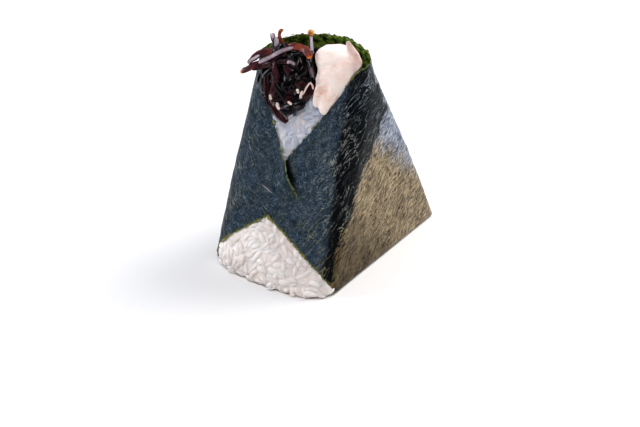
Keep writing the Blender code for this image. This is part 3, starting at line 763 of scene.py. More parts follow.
def seaweed_weave():
    """Pressed seaweed: streaks along the sheet's length, fine grain, and green specks."""
    group = Nodes(bpy.data.node_groups.new("seaweed_weave", 'ShaderNodeTree'))
    group.tree.interface.new_socket("Flat", in_out='INPUT', socket_type='NodeSocketVector')
    flat = group.tree.nodes.new("NodeGroupInput").outputs["Flat"]
    wander = group.add("TexNoise", Vector=flat, Scale=7.0, Detail=2.0).outputs["Color"]
    swayed = group.add("VectorMath", operation='MULTIPLY_ADD')
    for socket, value in zip(swayed.inputs, (wander, (0.06, 0.08, 0.0), flat)):
        group.feed(socket, value)
    sway = swayed.outputs[0]
    coarse = group.reckon('MULTIPLY', group.streaks(sway, 19.0, 88.0, 4.0, 0.66), 0.35)
    streaks = group.reckon('MULTIPLY_ADD', group.streaks(sway, 44.0, 240.0, 4.0, 0.66), 0.65, coarse)
    from_line = group.reckon('SUBTRACT', group.streaks(sway, 11.0, 44.0, 4.0, 0.6), 0.5)
    ridges = group.reckon('SUBTRACT', 0.22, group.reckon('ABSOLUTE', from_line))
    turned = [group.add("VectorRotate", Vector=sway, Angle=turn).outputs[0] for turn in (0.6, -0.95)]
    grain = group.reckon('MAXIMUM', *[group.streaks(way, 52.0, 230.0, 3.0, 0.6) for way in turned])
    relief = group.reckon('MULTIPLY_ADD', ridges, 1.1, streaks)
    relief = group.reckon('MULTIPLY_ADD', grain, 0.30, relief)
    specks = group.add("TexVoronoi", Vector=flat, Scale=78.0).outputs["Distance"]
    specks = group.reckon('LESS_THAN', specks, 0.17)
    outlet = group.tree.nodes.new("NodeGroupOutput")
    for name, value in (("Relief", relief), ("Streaks", streaks), ("Ridges", ridges), ("Grain", grain),
                        ("Specks", specks)):
        group.tree.interface.new_socket(name, in_out='OUTPUT', socket_type='NodeSocketFloat')
        group.feed(outlet.inputs[name], value)
    return group.tree


weave = seaweed_weave()


def woven(paint):
    """The seaweed's pattern over the sheet's own flat map, and that map."""
    node = paint.tree.nodes.new("ShaderNodeGroup")
    node.node_tree = weave
    flat = paint.add("UVMap").outputs["UV"]
    paint.feed(node.inputs["Flat"], flat)
    return node.outputs, flat


nori_paint = Paint("toasted_nori")
reckon, ramp, blend = nori_paint.reckon, nori_paint.ramp, nori_paint.blend
nori_weave, nori_flat = woven(nori_paint)
nori_patches = nori_paint.cloud(nori_flat, 11.0, 2.0)
nori_glints_and_dark_band, nori_reflection_warmth = nori_paint.mark("glints_and_dark_band"), nori_paint.mark("reflection_warmth")
mottled = reckon('MULTIPLY_ADD', nori_paint.cloud(nori_flat, 30.0), 0.30, nori_weave["Grain"])
# The sheet's dark colour; its slate-blue cast and palest flecks are partly a painted bluish reflection.
nori_colour = ramp(mottled, (0.58, (0.003, 0.008, 0.015)), (0.69, (0.022, 0.038, 0.062)),
                   (0.77, (0.052, 0.078, 0.110)), (0.88, (0.18, 0.22, 0.23)))
nori_colour = blend(nori_weave["Specks"], nori_colour, (0.045, 0.095, 0.035))
nori_colour = blend(ramp(nori_patches, (0.42, 0.0), (0.62, 0.35)), nori_colour, (0.012, 0.024, 0.018))
# Painted shade: the sheet goes nearly black where that mask is high.
nori_colour = blend(ramp(nori_glints_and_dark_band, (0.45, 0.0), (0.9, 0.97)), nori_colour, (0.0006, 0.0010, 0.0014))
# Thin painted glint lines along the wrinkles, bluish high up and gold lower down.
painted_glint_lines = reckon('MULTIPLY', ramp(nori_weave["Ridges"], (0.205, 0.0), (0.213, 1.0)),
                    reckon('MULTIPLY', ramp(nori_patches, (0.42, 0.10), (0.62, 0.9)),
                           ramp(nori_glints_and_dark_band, (0.0, 0.25), (0.5, 1.0))))
nori_colour = blend(painted_glint_lines, nori_colour, blend(nori_reflection_warmth, (0.36, 0.43, 0.49), (0.32, 0.28, 0.16)))
# The right face's painted reflection: silver high up, gold lower down and brown at the foot, in streaks.
gloss = reckon('MULTIPLY_ADD', reckon('SUBTRACT', nori_patches, 0.5), 0.14, nori_weave["Streaks"])
silver = ramp(gloss, (0.43, (0.030, 0.040, 0.060)), (0.495, (0.18, 0.205, 0.26)), (0.56, (0.50, 0.55, 0.65)))
gold = ramp(gloss, (0.43, (0.060, 0.040, 0.018)), (0.50, (0.21, 0.148, 0.078)), (0.57, (0.50, 0.41, 0.25)))
brown = ramp(gloss, (0.43, (0.014, 0.009, 0.004)), (0.50, (0.056, 0.036, 0.014)), (0.57, (0.20, 0.145, 0.07)))
painted_reflection = blend(ramp(nori_reflection_warmth, (0.0, 0.0), (0.5, 1.0)), silver, gold)
painted_reflection = blend(ramp(nori_reflection_warmth, (0.5, 0.0), (1.0, 1.0)), painted_reflection, brown)
lustre = reckon('MULTIPLY', nori_paint.mark("sheen"),
                reckon('MULTIPLY_ADD', nori_weave["Streaks"], 9.0, -3.5))
nori_colour = blend(ramp(lustre, (0.35, 0.0), (0.62, 1.0)), nori_colour, painted_reflection)
olive = reckon('MULTIPLY', nori_paint.mark("edge"), nori_paint.cloud(nori_flat, 62.0, 3.0, 0.6))
nori_colour = blend(ramp(olive, (0.42, 0.0), (0.52, 0.9)), nori_colour, (0.10, 0.115, 0.020))
# Painted shade in the slit under the left flap's free edge.
nori_colour = blend(nori_paint.mark("shade"), nori_colour, (0.002, 0.003, 0.004))
nori_paint.finish(Base_Color=nori_colour, Roughness=0.30, Specular_IOR_Level=0.04,
                  Specular_Tint=(0.75, 0.88, 1.0), Normal=nori_paint.relief(nori_weave["Relief"], 0.0007))

inside_paint = Paint("nori_rough_side")
inside_weave, _ = woven(inside_paint)
moss = inside_paint.cloud(inside_paint.place(), 420.0, 3.0, 0.65)
inside_paint.finish(
    Base_Color=inside_paint.ramp(moss, (0.40, (0.006, 0.020, 0.001)), (0.48, (0.06, 0.15, 0.006)),
                                 (0.56, (0.26, 0.46, 0.03)), (0.68, (0.66, 0.72, 0.22))),
    Roughness=0.45, Specular_IOR_Level=0.2,
    Normal=inside_paint.relief(inside_paint.reckon('ADD', inside_weave["Relief"], moss), 0.0009))

torn_paint = Paint("nori_torn_edge")
torn_grain = torn_paint.cloud(torn_paint.place(), 800.0, 2.0)
torn_paint.finish(
    Base_Color=torn_paint.ramp(torn_grain, (0.40, (0.006, 0.010, 0.004)), (0.54, (0.034, 0.044, 0.010)),
                               (0.70, (0.20, 0.20, 0.05))),
    Roughness=0.6, Normal=torn_paint.relief(torn_grain, 0.0002))

for paint in (nori_paint, inside_paint, torn_paint):
    nori.data.materials.append(paint.material)
select_only(nori)
modify(nori, 'SOLIDIFY', thickness=NORI_THICK, offset=-1, material_offset=1, material_offset_rim=2)
bpy.ops.object.shade_smooth_by_angle(angle=math.radians(60))
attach(nori, "root")
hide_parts("nori_sheet")

# ------------------------------------------------------------------ the nori: its torn fringe
# Where the half sheet was cut and handled, small yellow-green and brown scraps still hang on its
# edges. Each is a flat five-sided chip about a millimetre long.
CHIP_LENGTH = (0.6, 2.2)
CHIP_WIDTH = (0.3, 0.8)
chip = added(bpy.ops.mesh.primitive_cylinder_add, vertices=5, radius=0.5, depth=0.2)
chip_shape = chip.data
bpy.data.objects.remove(chip)


def on_sheet(along, below):
    """A point of the sheet's outer face, and the way out of it."""
    p, height, rise, _ = lie_of(sheet_place(along, below))
    place = body_point(p, height, -rise)
    return place, (body_point(p, height, -rise - MM) - place).normalized(), p, height


scrap_paint = Paint("nori_scraps")
scrap_tone = scrap_paint.reckon('MULTIPLY_ADD', scrap_paint.cloud(scrap_paint.place(), 900.0), 0.25,
                                scrap_paint.mark("tone"))
scrap_paint.finish(
    Base_Color=scrap_paint.ramp(scrap_tone, (0.1, (0.020, 0.038, 0.008)), (0.45, (0.085, 0.13, 0.015)),
                                (0.75, (0.26, 0.26, 0.04)), (1.0, (0.16, 0.075, 0.02))),
    Roughness=0.5)

scraps = Joined()
EDGES = (
    # how many, the edge from (along, below) to (along, below), lowest and highest tone
    (240, (-SHEET_LEFT, 0), (-SHEET_LEFT - END_SLANT * SHEET_HEIGHT, -SHEET_HEIGHT), 0.3, 0.9),
    (330, (SHEET_RIGHT, 0), (SHEET_RIGHT, -SHEET_HEIGHT), 0.3, 0.9),
    (110, (-SHEET_LEFT, 0), (-30 * MM, 0), 0.0, 0.6), (110, (SHEET_RIGHT, 0), (30 * MM, 0), 0.0, 0.6),
    (30, (-30 * MM, 0), (30 * MM, 0), 0.1, 0.5))
for count, start, end, darkest, palest in EDGES:
    for _ in range(count):
        t = dice.random()
        along, below = mix(start[0], end[0], t), mix(start[1], end[1], t)
        place, outward, p, height = on_sheet(along, below)
        if height < 1 * MM:
            continue
        on_left_end = start[0] == -SHEET_LEFT and end[1] < 0
        if on_left_end and over_right_flap(p, height) < 0:
            continue
        beside = on_sheet(along + (end[0] - start[0]) * 0.01, below + (end[1] - start[1]) * 0.01)[0]
        edge_way = (beside - place).normalized()
        turn = Matrix((edge_way, outward.cross(edge_way), outward)).transposed()
        turn = turn @ Matrix.Rotation(dice.gauss(0, 0.7 if end[1] < 0 else 0.1), 3, 'Z')
        turn = turn @ Matrix.Rotation(dice.gauss(0, 0.35), 3, 'X')
        size = Matrix.Diagonal((dice.uniform(*CHIP_LENGTH) * MM, dice.uniform(*CHIP_WIDTH) * MM, 0.5 * MM))
        nudge = turn @ Vector((0, dice.gauss(0, 0.2) * MM, 0)) - outward * dice.uniform(0.0, 0.25) * MM
        tone = dice.uniform(darkest, palest)
        scraps.add(chip_shape, lambda point: (place + nudge + turn @ size @ point, tone))
scraps.finish("nori_fringe", scrap_paint, "nori", 30)

# ------------------------------------------------------------------ the nori: its pale fibre
# One thin pale strand of another seaweed was pressed into the sheet and shows on the left flap.
# It is a flat strip, bent along a curve and thickened, as the kelp's strips are further on.
FIBRE_WIDTH = 0.34 * MM
FIBRE_THICK = 0.16 * MM
STRIP_STEPS = 14
strip = added(bpy.ops.mesh.primitive_grid_add, x_subdivisions=STRIP_STEPS, y_subdivisions=4, size=1)
strip_shape = strip.data
bpy.data.objects.remove(strip)


def curve_through(points, steps):
    """Points along a smooth curve through the given ones."""
    ends = [points[0] * 2 - points[1]] + list(points) + [points[-1] * 2 - points[-2]]
    path = []
    for i in range(steps + 1):
        place = i / steps * (len(points) - 1)
        k = min(int(place), len(points) - 2)
        t = place - k
        a, b, c, d = ends[k:k + 4]
        path.append(0.5 * (2 * b + (c - a) * t + (2 * a - 5 * b + 4 * c - d) * t * t
                           + (3 * b - a - 3 * c + d) * t ** 3))
    return path


def bend_strip(heap, bend, width, facing, tone, ends=(0, 0), twist=0.0, cup=0.12, tips=(0.5, 0.5)):
    """A copy of the flat strip, bent along a curve with its face towards facing."""
    path = curve_through(bend, STRIP_STEPS)
    frames = []
    for i, point in enumerate(path):
        tangent = (path[min(i + 1, STRIP_STEPS)] - path[max(i - 1, 0)]).normalized()
        across = tangent.cross(facing).normalized()
        turn = Matrix.Rotation(twist * (i / STRIP_STEPS - 0.5), 3, tangent)
        frames.append((point, turn @ across, turn @ across.cross(tangent)))
    seed = len(heap.bm.verts) * 0.37

    def put(point):
        i = min(max(round((point.x + 0.5) * STRIP_STEPS), 0), STRIP_STEPS)
        t, side = i / STRIP_STEPS, 2 * point.y
        place, across, up = frames[i]
        slim = min(1.0, tips[0] + 4 * t, tips[1] + 4 * (1 - t))
        slim *= 1 + 0.28 * noise.noise(Vector((t * 5, seed, side)))
        rise = -cup * width * side * side + 0.12 * width * noise.noise(Vector((t * 4, side, seed)))
        # The ends' tones are a painted glow, for light that comes through thin ends.
        glow = max(ends[0] * smooth(1 - t / 0.3), ends[1] * smooth(1 - (1 - t) / 0.3))
        shown = tone + 0.12 * noise.noise(Vector((t * 7, side * 2, seed + 5)))
        # A negative tone is a painted pale sheen down the strip's middle, darker towards its margins.
        if tone < 0:
            shown = mix(shown, 0.56, smooth(1.5 * abs(side) - 0.6))
        return place + across * side * width / 2 * slim + up * rise, max(shown, glow) if glow > 0 else shown

    heap.add(strip_shape, put)


def thicken(thing, thick):
    """Gives the strips of a joined piece their thickness and rounded edges."""
    modify(thing, 'SOLIDIFY', thickness=thick, offset=0)
    modify(thing, 'SUBSURF', levels=1, render_levels=1)
    bpy.ops.object.mode_set(mode='EDIT')
    bpy.ops.mesh.select_all(action='SELECT')
    bpy.ops.mesh.normals_make_consistent(inside=False)
    bpy.ops.object.mode_set(mode='OBJECT')
    bpy.ops.object.shade_smooth_by_angle(angle=math.radians(70))


def on_left_flap(x, height, off):
    """A point just off the left flap's outer face."""
    p, height, rise, _ = lie_of(unwrap_front(x, height, -1))
    return body_point(p, height, -rise - off)


fibre_paint = Paint("pale_strand")
fibre_paint.finish(
    Base_Color=fibre_paint.ramp(fibre_paint.cloud(fibre_paint.place(), 500.0), (0.3, (0.10, 0.09, 0.085)),
                                (0.65, (0.42, 0.36, 0.36))),
    Roughness=0.5)
fibre = Joined()
fibre_points = ((-9.6, 36.5), (-7.7, 35.8), (-5.9, 35.0), (-4.0, 34.0))
bend_strip(fibre, [on_left_flap(x * MM, z * MM, 0.08 * MM) for x, z in fibre_points], FIBRE_WIDTH,
           Vector((0, -0.93, 0.37)), 0.5, tips=(0.6, 0.1))
fibre = fibre.finish("nori_fibre", fibre_paint, "nori")
thicken(fibre, FIBRE_THICK)

# ------------------------------------------------------------------ the kelp: its heap
# Strips of kelp simmered in soy sauce until they are black, wet and sticky. The middle of the
# heap is one dark lump, over which the single strips lie.
KELP_STATIONS = (
    # height, left, right, front and back in mm
    (65.5, -12, -6, -22.5, -19.0), (67.5, -17, -1, -23.5, -12.0), (71.5, -22, 3, -22.8, -2.0),
    (76.5, -24, 3.4, -21.2, 4.0), (81.5, -24, 1.8, -18.8, 5.0), (85.5, -22, 0.6, -16.0, 3.0),
    (88.5, -17, -2, -12.5, -1.0))
HEAP_DEPTH = 1.2 * MM
WALL_GAP = 2.4 * MM
CORNER_GAP = 2 * MM


def at_station(z):
    """The four bounds of the heap at height z, eased between its stations."""
    for low, high in zip(KELP_STATIONS, KELP_STATIONS[1:]):
        if z <= high[0] * MM:
            t = max((z / MM - low[0]) / (high[0] - low[0]), 0)
            return [mix(a, b, t) * MM for a, b in zip(low[1:], high[1:])]
    return [bound * MM for bound in KELP_STATIONS[-1][1:]]


def heap_point(turn, z, margin=0.0):
    """A point of the heap's skin: a rounded oblong section, turn radians round from +X."""
    left, right, front, back = at_station(z)
    power = 2 / 2.5
    across = math.copysign(abs(math.cos(turn)) ** power, math.cos(turn))
    deep = math.copysign(abs(math.sin(turn)) ** power, math.sin(turn))
    return BODY_MIDDLE + Vector(((left + right) / 2 + across * ((right - left) / 2 + margin),
                                 (front + back) / 2 + deep * ((back - front) / 2 + margin), z))


def kept_inside(point):
    """The point, pulled in where it would pierce the nori's left, back or right wall."""
    spot = point - BODY_MIDDLE
    half, _, back, radii = full_section(min(spot.z, TOP_Z))
    limit, radius = half - WALL_GAP, radii[2] + CORNER_GAP
    spot.x = min(max(spot.x, -limit), limit)
    spot.y = min(spot.y, back - WALL_GAP)
    corner = Vector((math.copysign(limit - radius, spot.x), back - WALL_GAP - radius))
    past = Vector((spot.x, spot.y)) - corner
    if past.y > 0 and past.x * corner.x > 0 and past.length > radius:
        past *= radius / past.length
        spot.x, spot.y = corner.x + past.x, corner.y + past.y
    return BODY_MIDDLE + spot


kelp_paint = Paint("simmered_kelp")
kelp_place = kelp_paint.place()
kelp_uneven = kelp_paint.reckon('SUBTRACT', kelp_paint.cloud(kelp_place, 330.0), 0.5)
kelp_tone = kelp_paint.reckon('MULTIPLY_ADD', kelp_uneven, 0.3, kelp_paint.mark("tone"))
kelp_tone = kelp_paint.reckon('MULTIPLY_ADD', kelp_tone, 0.7, 0.3)
# Kelp tones: pale lilac at the bottom is a painted sheen, then black and dark red, and the orange at the top
# a painted glow of light through thin ends.
kelp_paint.finish(
    Base_Color=kelp_paint.ramp(
        kelp_tone, (0.0, (0.76, 0.67, 0.77)), (0.13, (0.26, 0.18, 0.22)), (0.27, (0.0009, 0.0007, 0.0012)),
        (0.51, (0.0025, 0.0010, 0.0014)), (0.65, (0.022, 0.005, 0.006)), (0.76, (0.065, 0.022, 0.028)),
        (0.86, (0.24, 0.040, 0.014)), (1.0, (0.66, 0.23, 0.06))),
    Roughness=0.16, Specular_IOR_Level=0.13,
    Normal=kelp_paint.relief(kelp_paint.cloud(kelp_place, 420.0, 3.0, 0.6), 0.0006, 0.35))

kelp_core = added(bpy.ops.mesh.primitive_uv_sphere_add, segments=72, ring_count=48, radius=1)
kelp_core.name = "kelp_heap"
for v in kelp_core.data.vertices:
    # The sphere is drawn out over the stations, with its rings spaced evenly up the heap.
    level = math.asin(max(min(v.co.z, 1), -1)) / math.pi + 0.5
    z = mix(KELP_STATIONS[0][0] * MM, KELP_STATIONS[-1][0] * MM, level)
    left, right, front, back = at_station(z)
    centre = BODY_MIDDLE + Vector(((left + right) / 2, (front + back) / 2, z))
    out = min(math.hypot(v.co.x, v.co.y) / 0.35, 1) ** 0.5
    v.co = centre.lerp(heap_point(math.atan2(v.co.y, v.co.x), z, -HEAP_DEPTH), out)
    v.co.z = z - HEAP_DEPTH * (2 * level - 1)
bpy.ops.object.shade_smooth()
for v, outward in with_normals(kelp_core.data):
    v.co = kept_inside(v.co + outward * 0.9 * MM * noise.noise(v.co / (2.6 * MM)))
kelp_core.data.materials.append(kelp_paint.material)
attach(kelp_core, "root")
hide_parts("kelp_strips")

# ------------------------------------------------------------------ the kelp: its strips
# Each strip is a flat ribbon 1.4 to 4.4 mm wide, bent over the heap. The bigger ones stand out at
# the left and the top. Thin ends are painted orange, a painted glow of light coming through them, and
# some strips are painted pale lilac down the middle, a painted sheen.
TOWARDS_VIEWER = Vector((0.45, -0.79, 0.42))
STRIP_THICK = 0.5 * MM
HEAP_STRIPS = 78
TOP_STRIPS = 26


def at(*points):
    """Points in mm from the middle of the base."""
    return [BODY_MIDDLE + Vector(point) * MM for point in points]


LONG_STRIPS = (
    # bend, width in mm, tone, tones of the two ends' painted glow, twist
    # The ones that reach far out on the left: a painted orange glow at the tip, a painted pale sheen on top,
    # red beneath.
    (at((-29.3, -20, 77.2), (-25.5, -20, 79.4), (-21, -17.8, 81.8), (-14, -14, 84)),
     2.7, 0.66, (1.1, 0), 0.9),
    (at((-25.6, -19.7, 81.4), (-24.0, -19.0, 83.2), (-21.4, -17.4, 85.0)), 1.9, -0.34, (0, 0), 0.3),
    (at((-25.4, -18.4, 81.9), (-22.0, -16.6, 85.2), (-17, -14.2, 86.6), (-12, -13, 87)),
     2.9, 0.66, (1.0, 0), -0.6),
    (at((-24.5, -19.6, 79.3), (-19, -18.8, 81.3), (-14.5, -18.9, 82.8)), 2.4, 0.50, (0.95, 0.2), 0.3),
    # The one with a painted pale sheen that lies over the heap's top on a red one, and the red arch behind
    # it.
    (at((-21.0, -18.9, 82.3), (-16, -17.9, 85.2), (-11.3, -15.2, 88.2), (-7.4, -13.4, 89.5)),
     2.6, -0.30, (0, 0), 0.25),
    (at((-20.2, -18.3, 80.9), (-15, -17.4, 83.7), (-10.3, -14.4, 86.8)), 2.6, 0.60, (0.7, 0), 0.1),
    (at((-10.0, -13.2, 89.5), (-5.4, -13.4, 90.2), (-0.4, -14.8, 89.7), (2.0, -16.6, 87.3)),
     3.0, 0.74, (0.9, 1.0), -0.5),
    (at((-12.5, -18.2, 84.0), (-7.0, -18.2, 84.8), (-2.8, -18.6, 83.6)), 2.2, 0.42, (0.3, 0), 0.4),
    (at((-7.4, -18.7, 84.7), (-5.4, -19.0, 85.3), (-3.4, -19.0, 84.4)), 1.9, -0.28, (0, 0), 0.2),
    # The upright ones: one broad and mauve, a painted sheen, and one thin and curled, whose orange is a
    # painted glow.
    (at((-15.2, -11, 83.4), (-16.6, -11.2, 87.6), (-17.4, -10.8, 91.6)), 3.4, -0.34, (0, 0), 0.25),
    (at((-15.8, -11, 85.0), (-17.8, -11.0, 89.4), (-19.6, -10.6, 92.9)), 2.2, -0.34, (0, 0), 0.3),
    (at((-14.2, -9, 85.2), (-15.4, -9, 89.0), (-16.7, -9.3, 91.8), (-15.9, -9.5, 94.2), (-14.6, -9.5, 94.4)),
     1.4, 0.80, (0.55, 1.0), 0.0),
    # The right side, next to the salmon.
    (at((0.6, -15.0, 87.6), (3.0, -17.4, 84.2), (5.4, -19.8, 81.0), (6.6, -21.4, 77.4)),
     2.2, -0.16, (0.5, 0.5), 0.9),
    (at((4.6, -20.9, 78.6), (4.4, -22.6, 75.2), (3.0, -23.6, 71.6)), 4.4, 0.48, (0, 0.1), 0.3),
    # The front's foot: a blunt one lying low, and one that hangs down over the rice.
    (at((-10, -24.0, 66.6), (-4.4, -24.8, 67.0), (1.2, -24.4, 69.4), (3.6, -23.8, 71.2)),
     4.0, 0.0, (0, 0), 0.2),
    (at((-12.6, -23.4, 70.6), (-9.6, -24.8, 67.4), (-6.4, -25.8, 64.8), (-3.0, -26.2, 62.1)),
     3.6, 0.50, (0.1, 0.55), 0.4),
    # The left, down the heap's inner side.
    (at((-13.6, -18.6, 84), (-11.2, -21, 78.2), (-11.4, -23, 73.6), (-12.8, -23.6, 69)),
     2.6, 0.56, (0, 0), 0.9),
    (at((-16.8, -19.5, 80), (-15.2, -22, 74.5), (-13.6, -23.4, 69.6), (-11.2, -24.2, 66.2)),
     2.4, 0.48, (0, 0), -0.7))

dice = random.Random(5)
strips = Joined()
for bend, width, tone, ends, twist in LONG_STRIPS:
    bend_strip(strips, bend, width * MM, TOWARDS_VIEWER, tone, ends, twist)
for _ in range(HEAP_STRIPS):
    turn = dice.uniform(-1.02, 0.30) * math.pi
    z = dice.uniform(67.5, 88) * MM
    swing = dice.uniform(0.10, 0.42) * dice.choice((-1, 1))
    climb = dice.uniform(-6, 6) * MM
    lift = dice.uniform(-0.5, 0.6) * MM
    bend = []
    for k in (-1, -0.3, 0.4, 1):
        level = min(max(z + k * climb, 66.5 * MM), 88.4 * MM)
        off = lift + dice.uniform(-0.6, 0.6) * MM
        bend.append(kept_inside(heap_point(turn + k * swing, level, off)))
    left, right, front, back = at_station(z)
    heart = BODY_MIDDLE + Vector(((left + right) / 2, (front + back) / 2, z - 3 * MM))
    bend_strip(strips, bend, dice.uniform(1.7, 4.0) * MM, (bend[1] - heart).normalized(),
               dice.choice((0.0, 0.0, 0.05, 0.1, 0.15, 0.2, 0.3, 0.5)), twist=dice.uniform(-1.2, 1.2),
               tips=(dice.uniform(0.1, 0.7), dice.uniform(0.1, 0.7)))
# Over the heap's top, where they lie any way.
for i in range(TOP_STRIPS):
    middle = BODY_MIDDLE + Vector((dice.uniform(-20, 0), dice.uniform(-13, 2), dice.uniform(85.5, 88.6))) * MM
    way = Vector((math.cos(i * 1.9), math.sin(i * 1.9), dice.uniform(-0.3, 0.2)))
    half = dice.uniform(3, 5.5) * MM
    start = middle - way * half - Vector((0, 0, 1.5 * MM))
    end = middle + way * half - Vector((0, 0, 1.2 * MM))
    bend = [kept_inside(point) for point in (start, middle, end)]
    bend_strip(strips, bend, dice.uniform(1.4, 3.0) * MM, Vector((0, 0, 1)), dice.uniform(0, 0.35),
               twist=dice.uniform(-0.8, 0.8))
strips = strips.finish("kelp_ribbons", kelp_paint, "kelp")
thicken(strips, STRIP_THICK)

# ------------------------------------------------------------------ the kelp: its stem
# A thin young stem stands up behind the heap. It is as glossy as the strips, its pale lilac middle
# is a painted sheen, and it ends in a round orange bud.
STEM_THICK = 0.9 * MM
BUD_RADIUS = 1.45 * MM
stem = Joined()
bend_strip(stem, at((-1, -9, 84), (-1.1, -9.5, 89.5), (-1.8, -9, 94.8)), 1.3 * MM, TOWARDS_VIEWER, -0.42,
           ends=(0.6, 0), tips=(1, 1), cup=0.3)
stem = stem.finish("kelp_stem", kelp_paint, "kelp")
thicken(stem, STEM_THICK)

bud_paint = Paint("orange_bud")
bud_cloud = bud_paint.cloud(bud_paint.place(), 420.0)
bud_paint.finish(
    Base_Color=bud_paint.ramp(bud_cloud, (0.34, (0.26, 0.07, 0.008)), (0.66, (0.72, 0.33, 0.06))),
    Roughness=0.12, Subsurface_Weight=0.3, Subsurface_Scale=0.001,
    Normal=bud_paint.relief(bud_cloud, 0.0003, 0.5))
bud = added(bpy.ops.mesh.primitive_uv_sphere_add, segments=24, ring_count=16, radius=BUD_RADIUS)
bud.name = "kelp_bud"
bud_middle = at((-1.8, -9, 95.4))[0]
for v in bud.data.vertices:
    v.co = bud_middle + v.co * (1 + 0.1 * noise.noise(v.co / (1.3 * MM)))
bpy.ops.object.shade_smooth()
bud.data.materials.append(bud_paint.material)
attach(bud, "root")

# ------------------------------------------------------------------ the salmon
# One flake of poached salmon, pale pink, smooth and moist, with fine fibres. A smaller flake
# hangs on its lower left, and its skin side is a thin browner band that ends in a standing tip.
EXTRA_THICK = 1.9 * MM
SKIN_WIDTH = 2.8 * MM
FLAKE_WIDTH = 3.9 * MM
SKIN_TINT_REACH = 3.6 * MM
LEAN_EASE = 5
SALMON_VOXEL = 0.42 * MM
CRUMB_THICK = 0.5 * MM
salmon_paint = Paint("poached_salmon")
salmon_place = salmon_paint.place()
salmon_map = salmon_paint.add("Mapping", Vector=salmon_place, Rotation=(0.3, 0.7, 0.3), Scale=(1.0, 1.0, 4.0))
fibres = salmon_paint.cloud(salmon_map.outputs["Vector"], 330.0, 4.0, 0.6)
salmon_cloud = salmon_paint.cloud(salmon_place, 130.0)
flesh = salmon_paint.ramp(salmon_paint.reckon('MULTIPLY_ADD', fibres, 0.35, salmon_cloud),
                          (0.45, (0.82, 0.56, 0.46)), (0.60, (0.90, 0.73, 0.66)), (0.72, (0.89, 0.77, 0.71)))
skin = salmon_paint.ramp(salmon_cloud, (0.35, (0.46, 0.25, 0.20)), (0.65, (0.68, 0.46, 0.40)))
salmon_paint.finish(
    Base_Color=salmon_paint.blend(salmon_paint.mark("tone"), flesh, skin), Roughness=0.45,
    Subsurface_Weight=0.35, Subsurface_Radius=(1.0, 0.6, 0.5), Subsurface_Scale=0.0012,
    Normal=salmon_paint.relief(fibres, 0.0009, 0.7))


def grab(mesh, middle, move, reach):
    """Pulls the skin near a place, given in mm, less and less out to its reach."""
    centre, shift = at(middle)[0], Vector(move) * MM
    for v in mesh.vertices:
        near = 1 - (v.co - centre).length / (reach * MM)
        if near > 0:
            v.co += shift * smooth(near)


salmon = taken_over("salmon_chunk", "salmon_flake", 0.6 * MM, 0.1 * MM)
for middle, move, reach in (
        ((3, -14, 88), (-0.6, -0.8, 0), 9), ((6, -21, 77), (-1.0, -0.3, 0), 8),
        ((7, -19, 80), (-2.0, -0.4, 0), 7), ((14, -12, 92), (0, 0, -0.8), 9),
        ((12, -23, 69), (-0.6, -0.6, -0.6), 5)):
    grab(salmon.data, middle, move, reach)
SKIN_SIDE = at((16.0, -10.8, 95.4), (17.6, -11.2, 92.8), (20.4, -11.6, 90.2), (22.0, -11.8, 87.4),
               (20.2, -12.8, 83.5))
extra = Joined()
bend_strip(extra, at((9.2, -20.4, 78.5), (8.8, -22.0, 73.6), (9.6, -22.9, 70.0)), FLAKE_WIDTH,
           TOWARDS_VIEWER, 0, cup=0.25)
bend_strip(extra, SKIN_SIDE, SKIN_WIDTH, Vector((0.1, -0.85, 0.5)), 0, tips=(0.1, 0.5), cup=0.2)
extra = extra.as_object("salmon_extra")
thicken(extra, EXTRA_THICK)
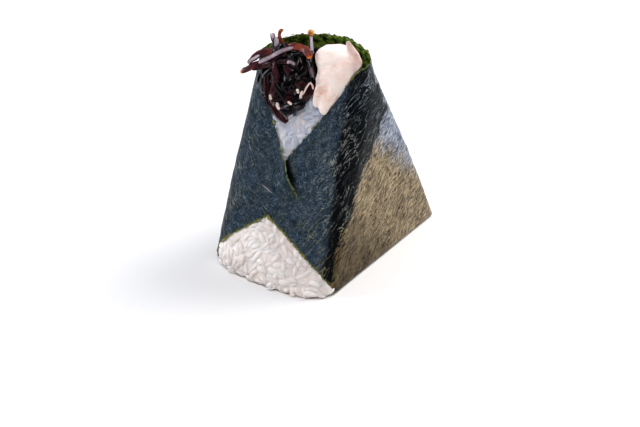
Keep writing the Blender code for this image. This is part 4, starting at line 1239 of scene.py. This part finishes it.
# Its right side leans in, away from the wall beside it.
for v in salmon.data.vertices:
    spot = (v.co - BODY_MIDDLE) / MM
    behind = spot.y + 14
    reach = mix(mix(19.2, 25.0, smooth((spot.z + 0.53 * behind - 76) / 13)), 21.0,
                smooth((spot.z + 0.53 * behind - 89) / 7)) - 0.58 * behind
    over = spot.x - (reach - LEAN_EASE)
    if over > 0:
        v.co.x = BODY_MIDDLE.x + (reach - LEAN_EASE + LEAN_EASE * math.tanh(over / LEAN_EASE)) * MM
select_only(salmon)
extra.select_set(True)
bpy.ops.object.join()
modify(salmon, 'REMESH', mode='VOXEL', voxel_size=SALMON_VOXEL)
modify(salmon, 'SMOOTH', iterations=8)
bpy.ops.object.shade_smooth()
skin_line = curve_through(SKIN_SIDE, 24)
salmon_tones = []
for v, outward in with_normals(salmon.data):
    facets = noise.voronoi(v.co / (6 * MM))[0]
    v.co += outward * MM * (0.30 * noise.noise(v.co / (3.5 * MM)) + 0.30 * (facets[1] - facets[0] - 0.3))
    near_skin = 1 - min((v.co - point).length for point in skin_line) / SKIN_TINT_REACH
    salmon_tones.append(mix(0.35, 0.7, smooth((v.co.z / MM - 88) / 5)) * smooth(near_skin * 1.4))
salmon.data.attributes.new("tone", 'FLOAT', 'POINT').data.foreach_set("value", salmon_tones)
salmon.data.materials.clear()
salmon.data.materials.append(salmon_paint.material)
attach(salmon, "root")
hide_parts("salmon_chunk")

# Small pink crumbs of the salmon lie in the kelp.
crumbs = Joined()
for bend, width in (
        (at((3.4, -24.1, 74.6), (4.6, -23.6, 77.6), (5.8, -22.6, 79.8)), 0.6),
        (at((5.8, -22.6, 79.8), (7.0, -22.8, 78.4), (7.4, -23.0, 77.2)), 0.7),
        (at((3.0, -24.2, 76.2), (2.6, -24.4, 74.4), (2.4, -24.5, 72.8)), 1.1),
        (at((-8.9, -24.6, 69.2), (-8.1, -24.9, 67.6), (-7.3, -25.2, 66.4)), 1.3),
        (at((-3.4, -24.8, 70.6), (-2.4, -24.9, 70.1), (-1.4, -25, 69.8)), 1.1),
        (at((0.6, -24.4, 76.6), (1.2, -24.6, 75.8), (1.4, -24.8, 75.0)), 1.2),
        (at((-12.6, -23.6, 71.6), (-12.2, -24, 70.4), (-11.6, -24.2, 69.6)), 1.0)):
    bend_strip(crumbs, bend, width * MM, TOWARDS_VIEWER, 0.4, twist=0.6, tips=(0.2, 0.2))
crumbs = crumbs.finish("salmon_crumbs", salmon_paint, "salmon")
thicken(crumbs, CRUMB_THICK)
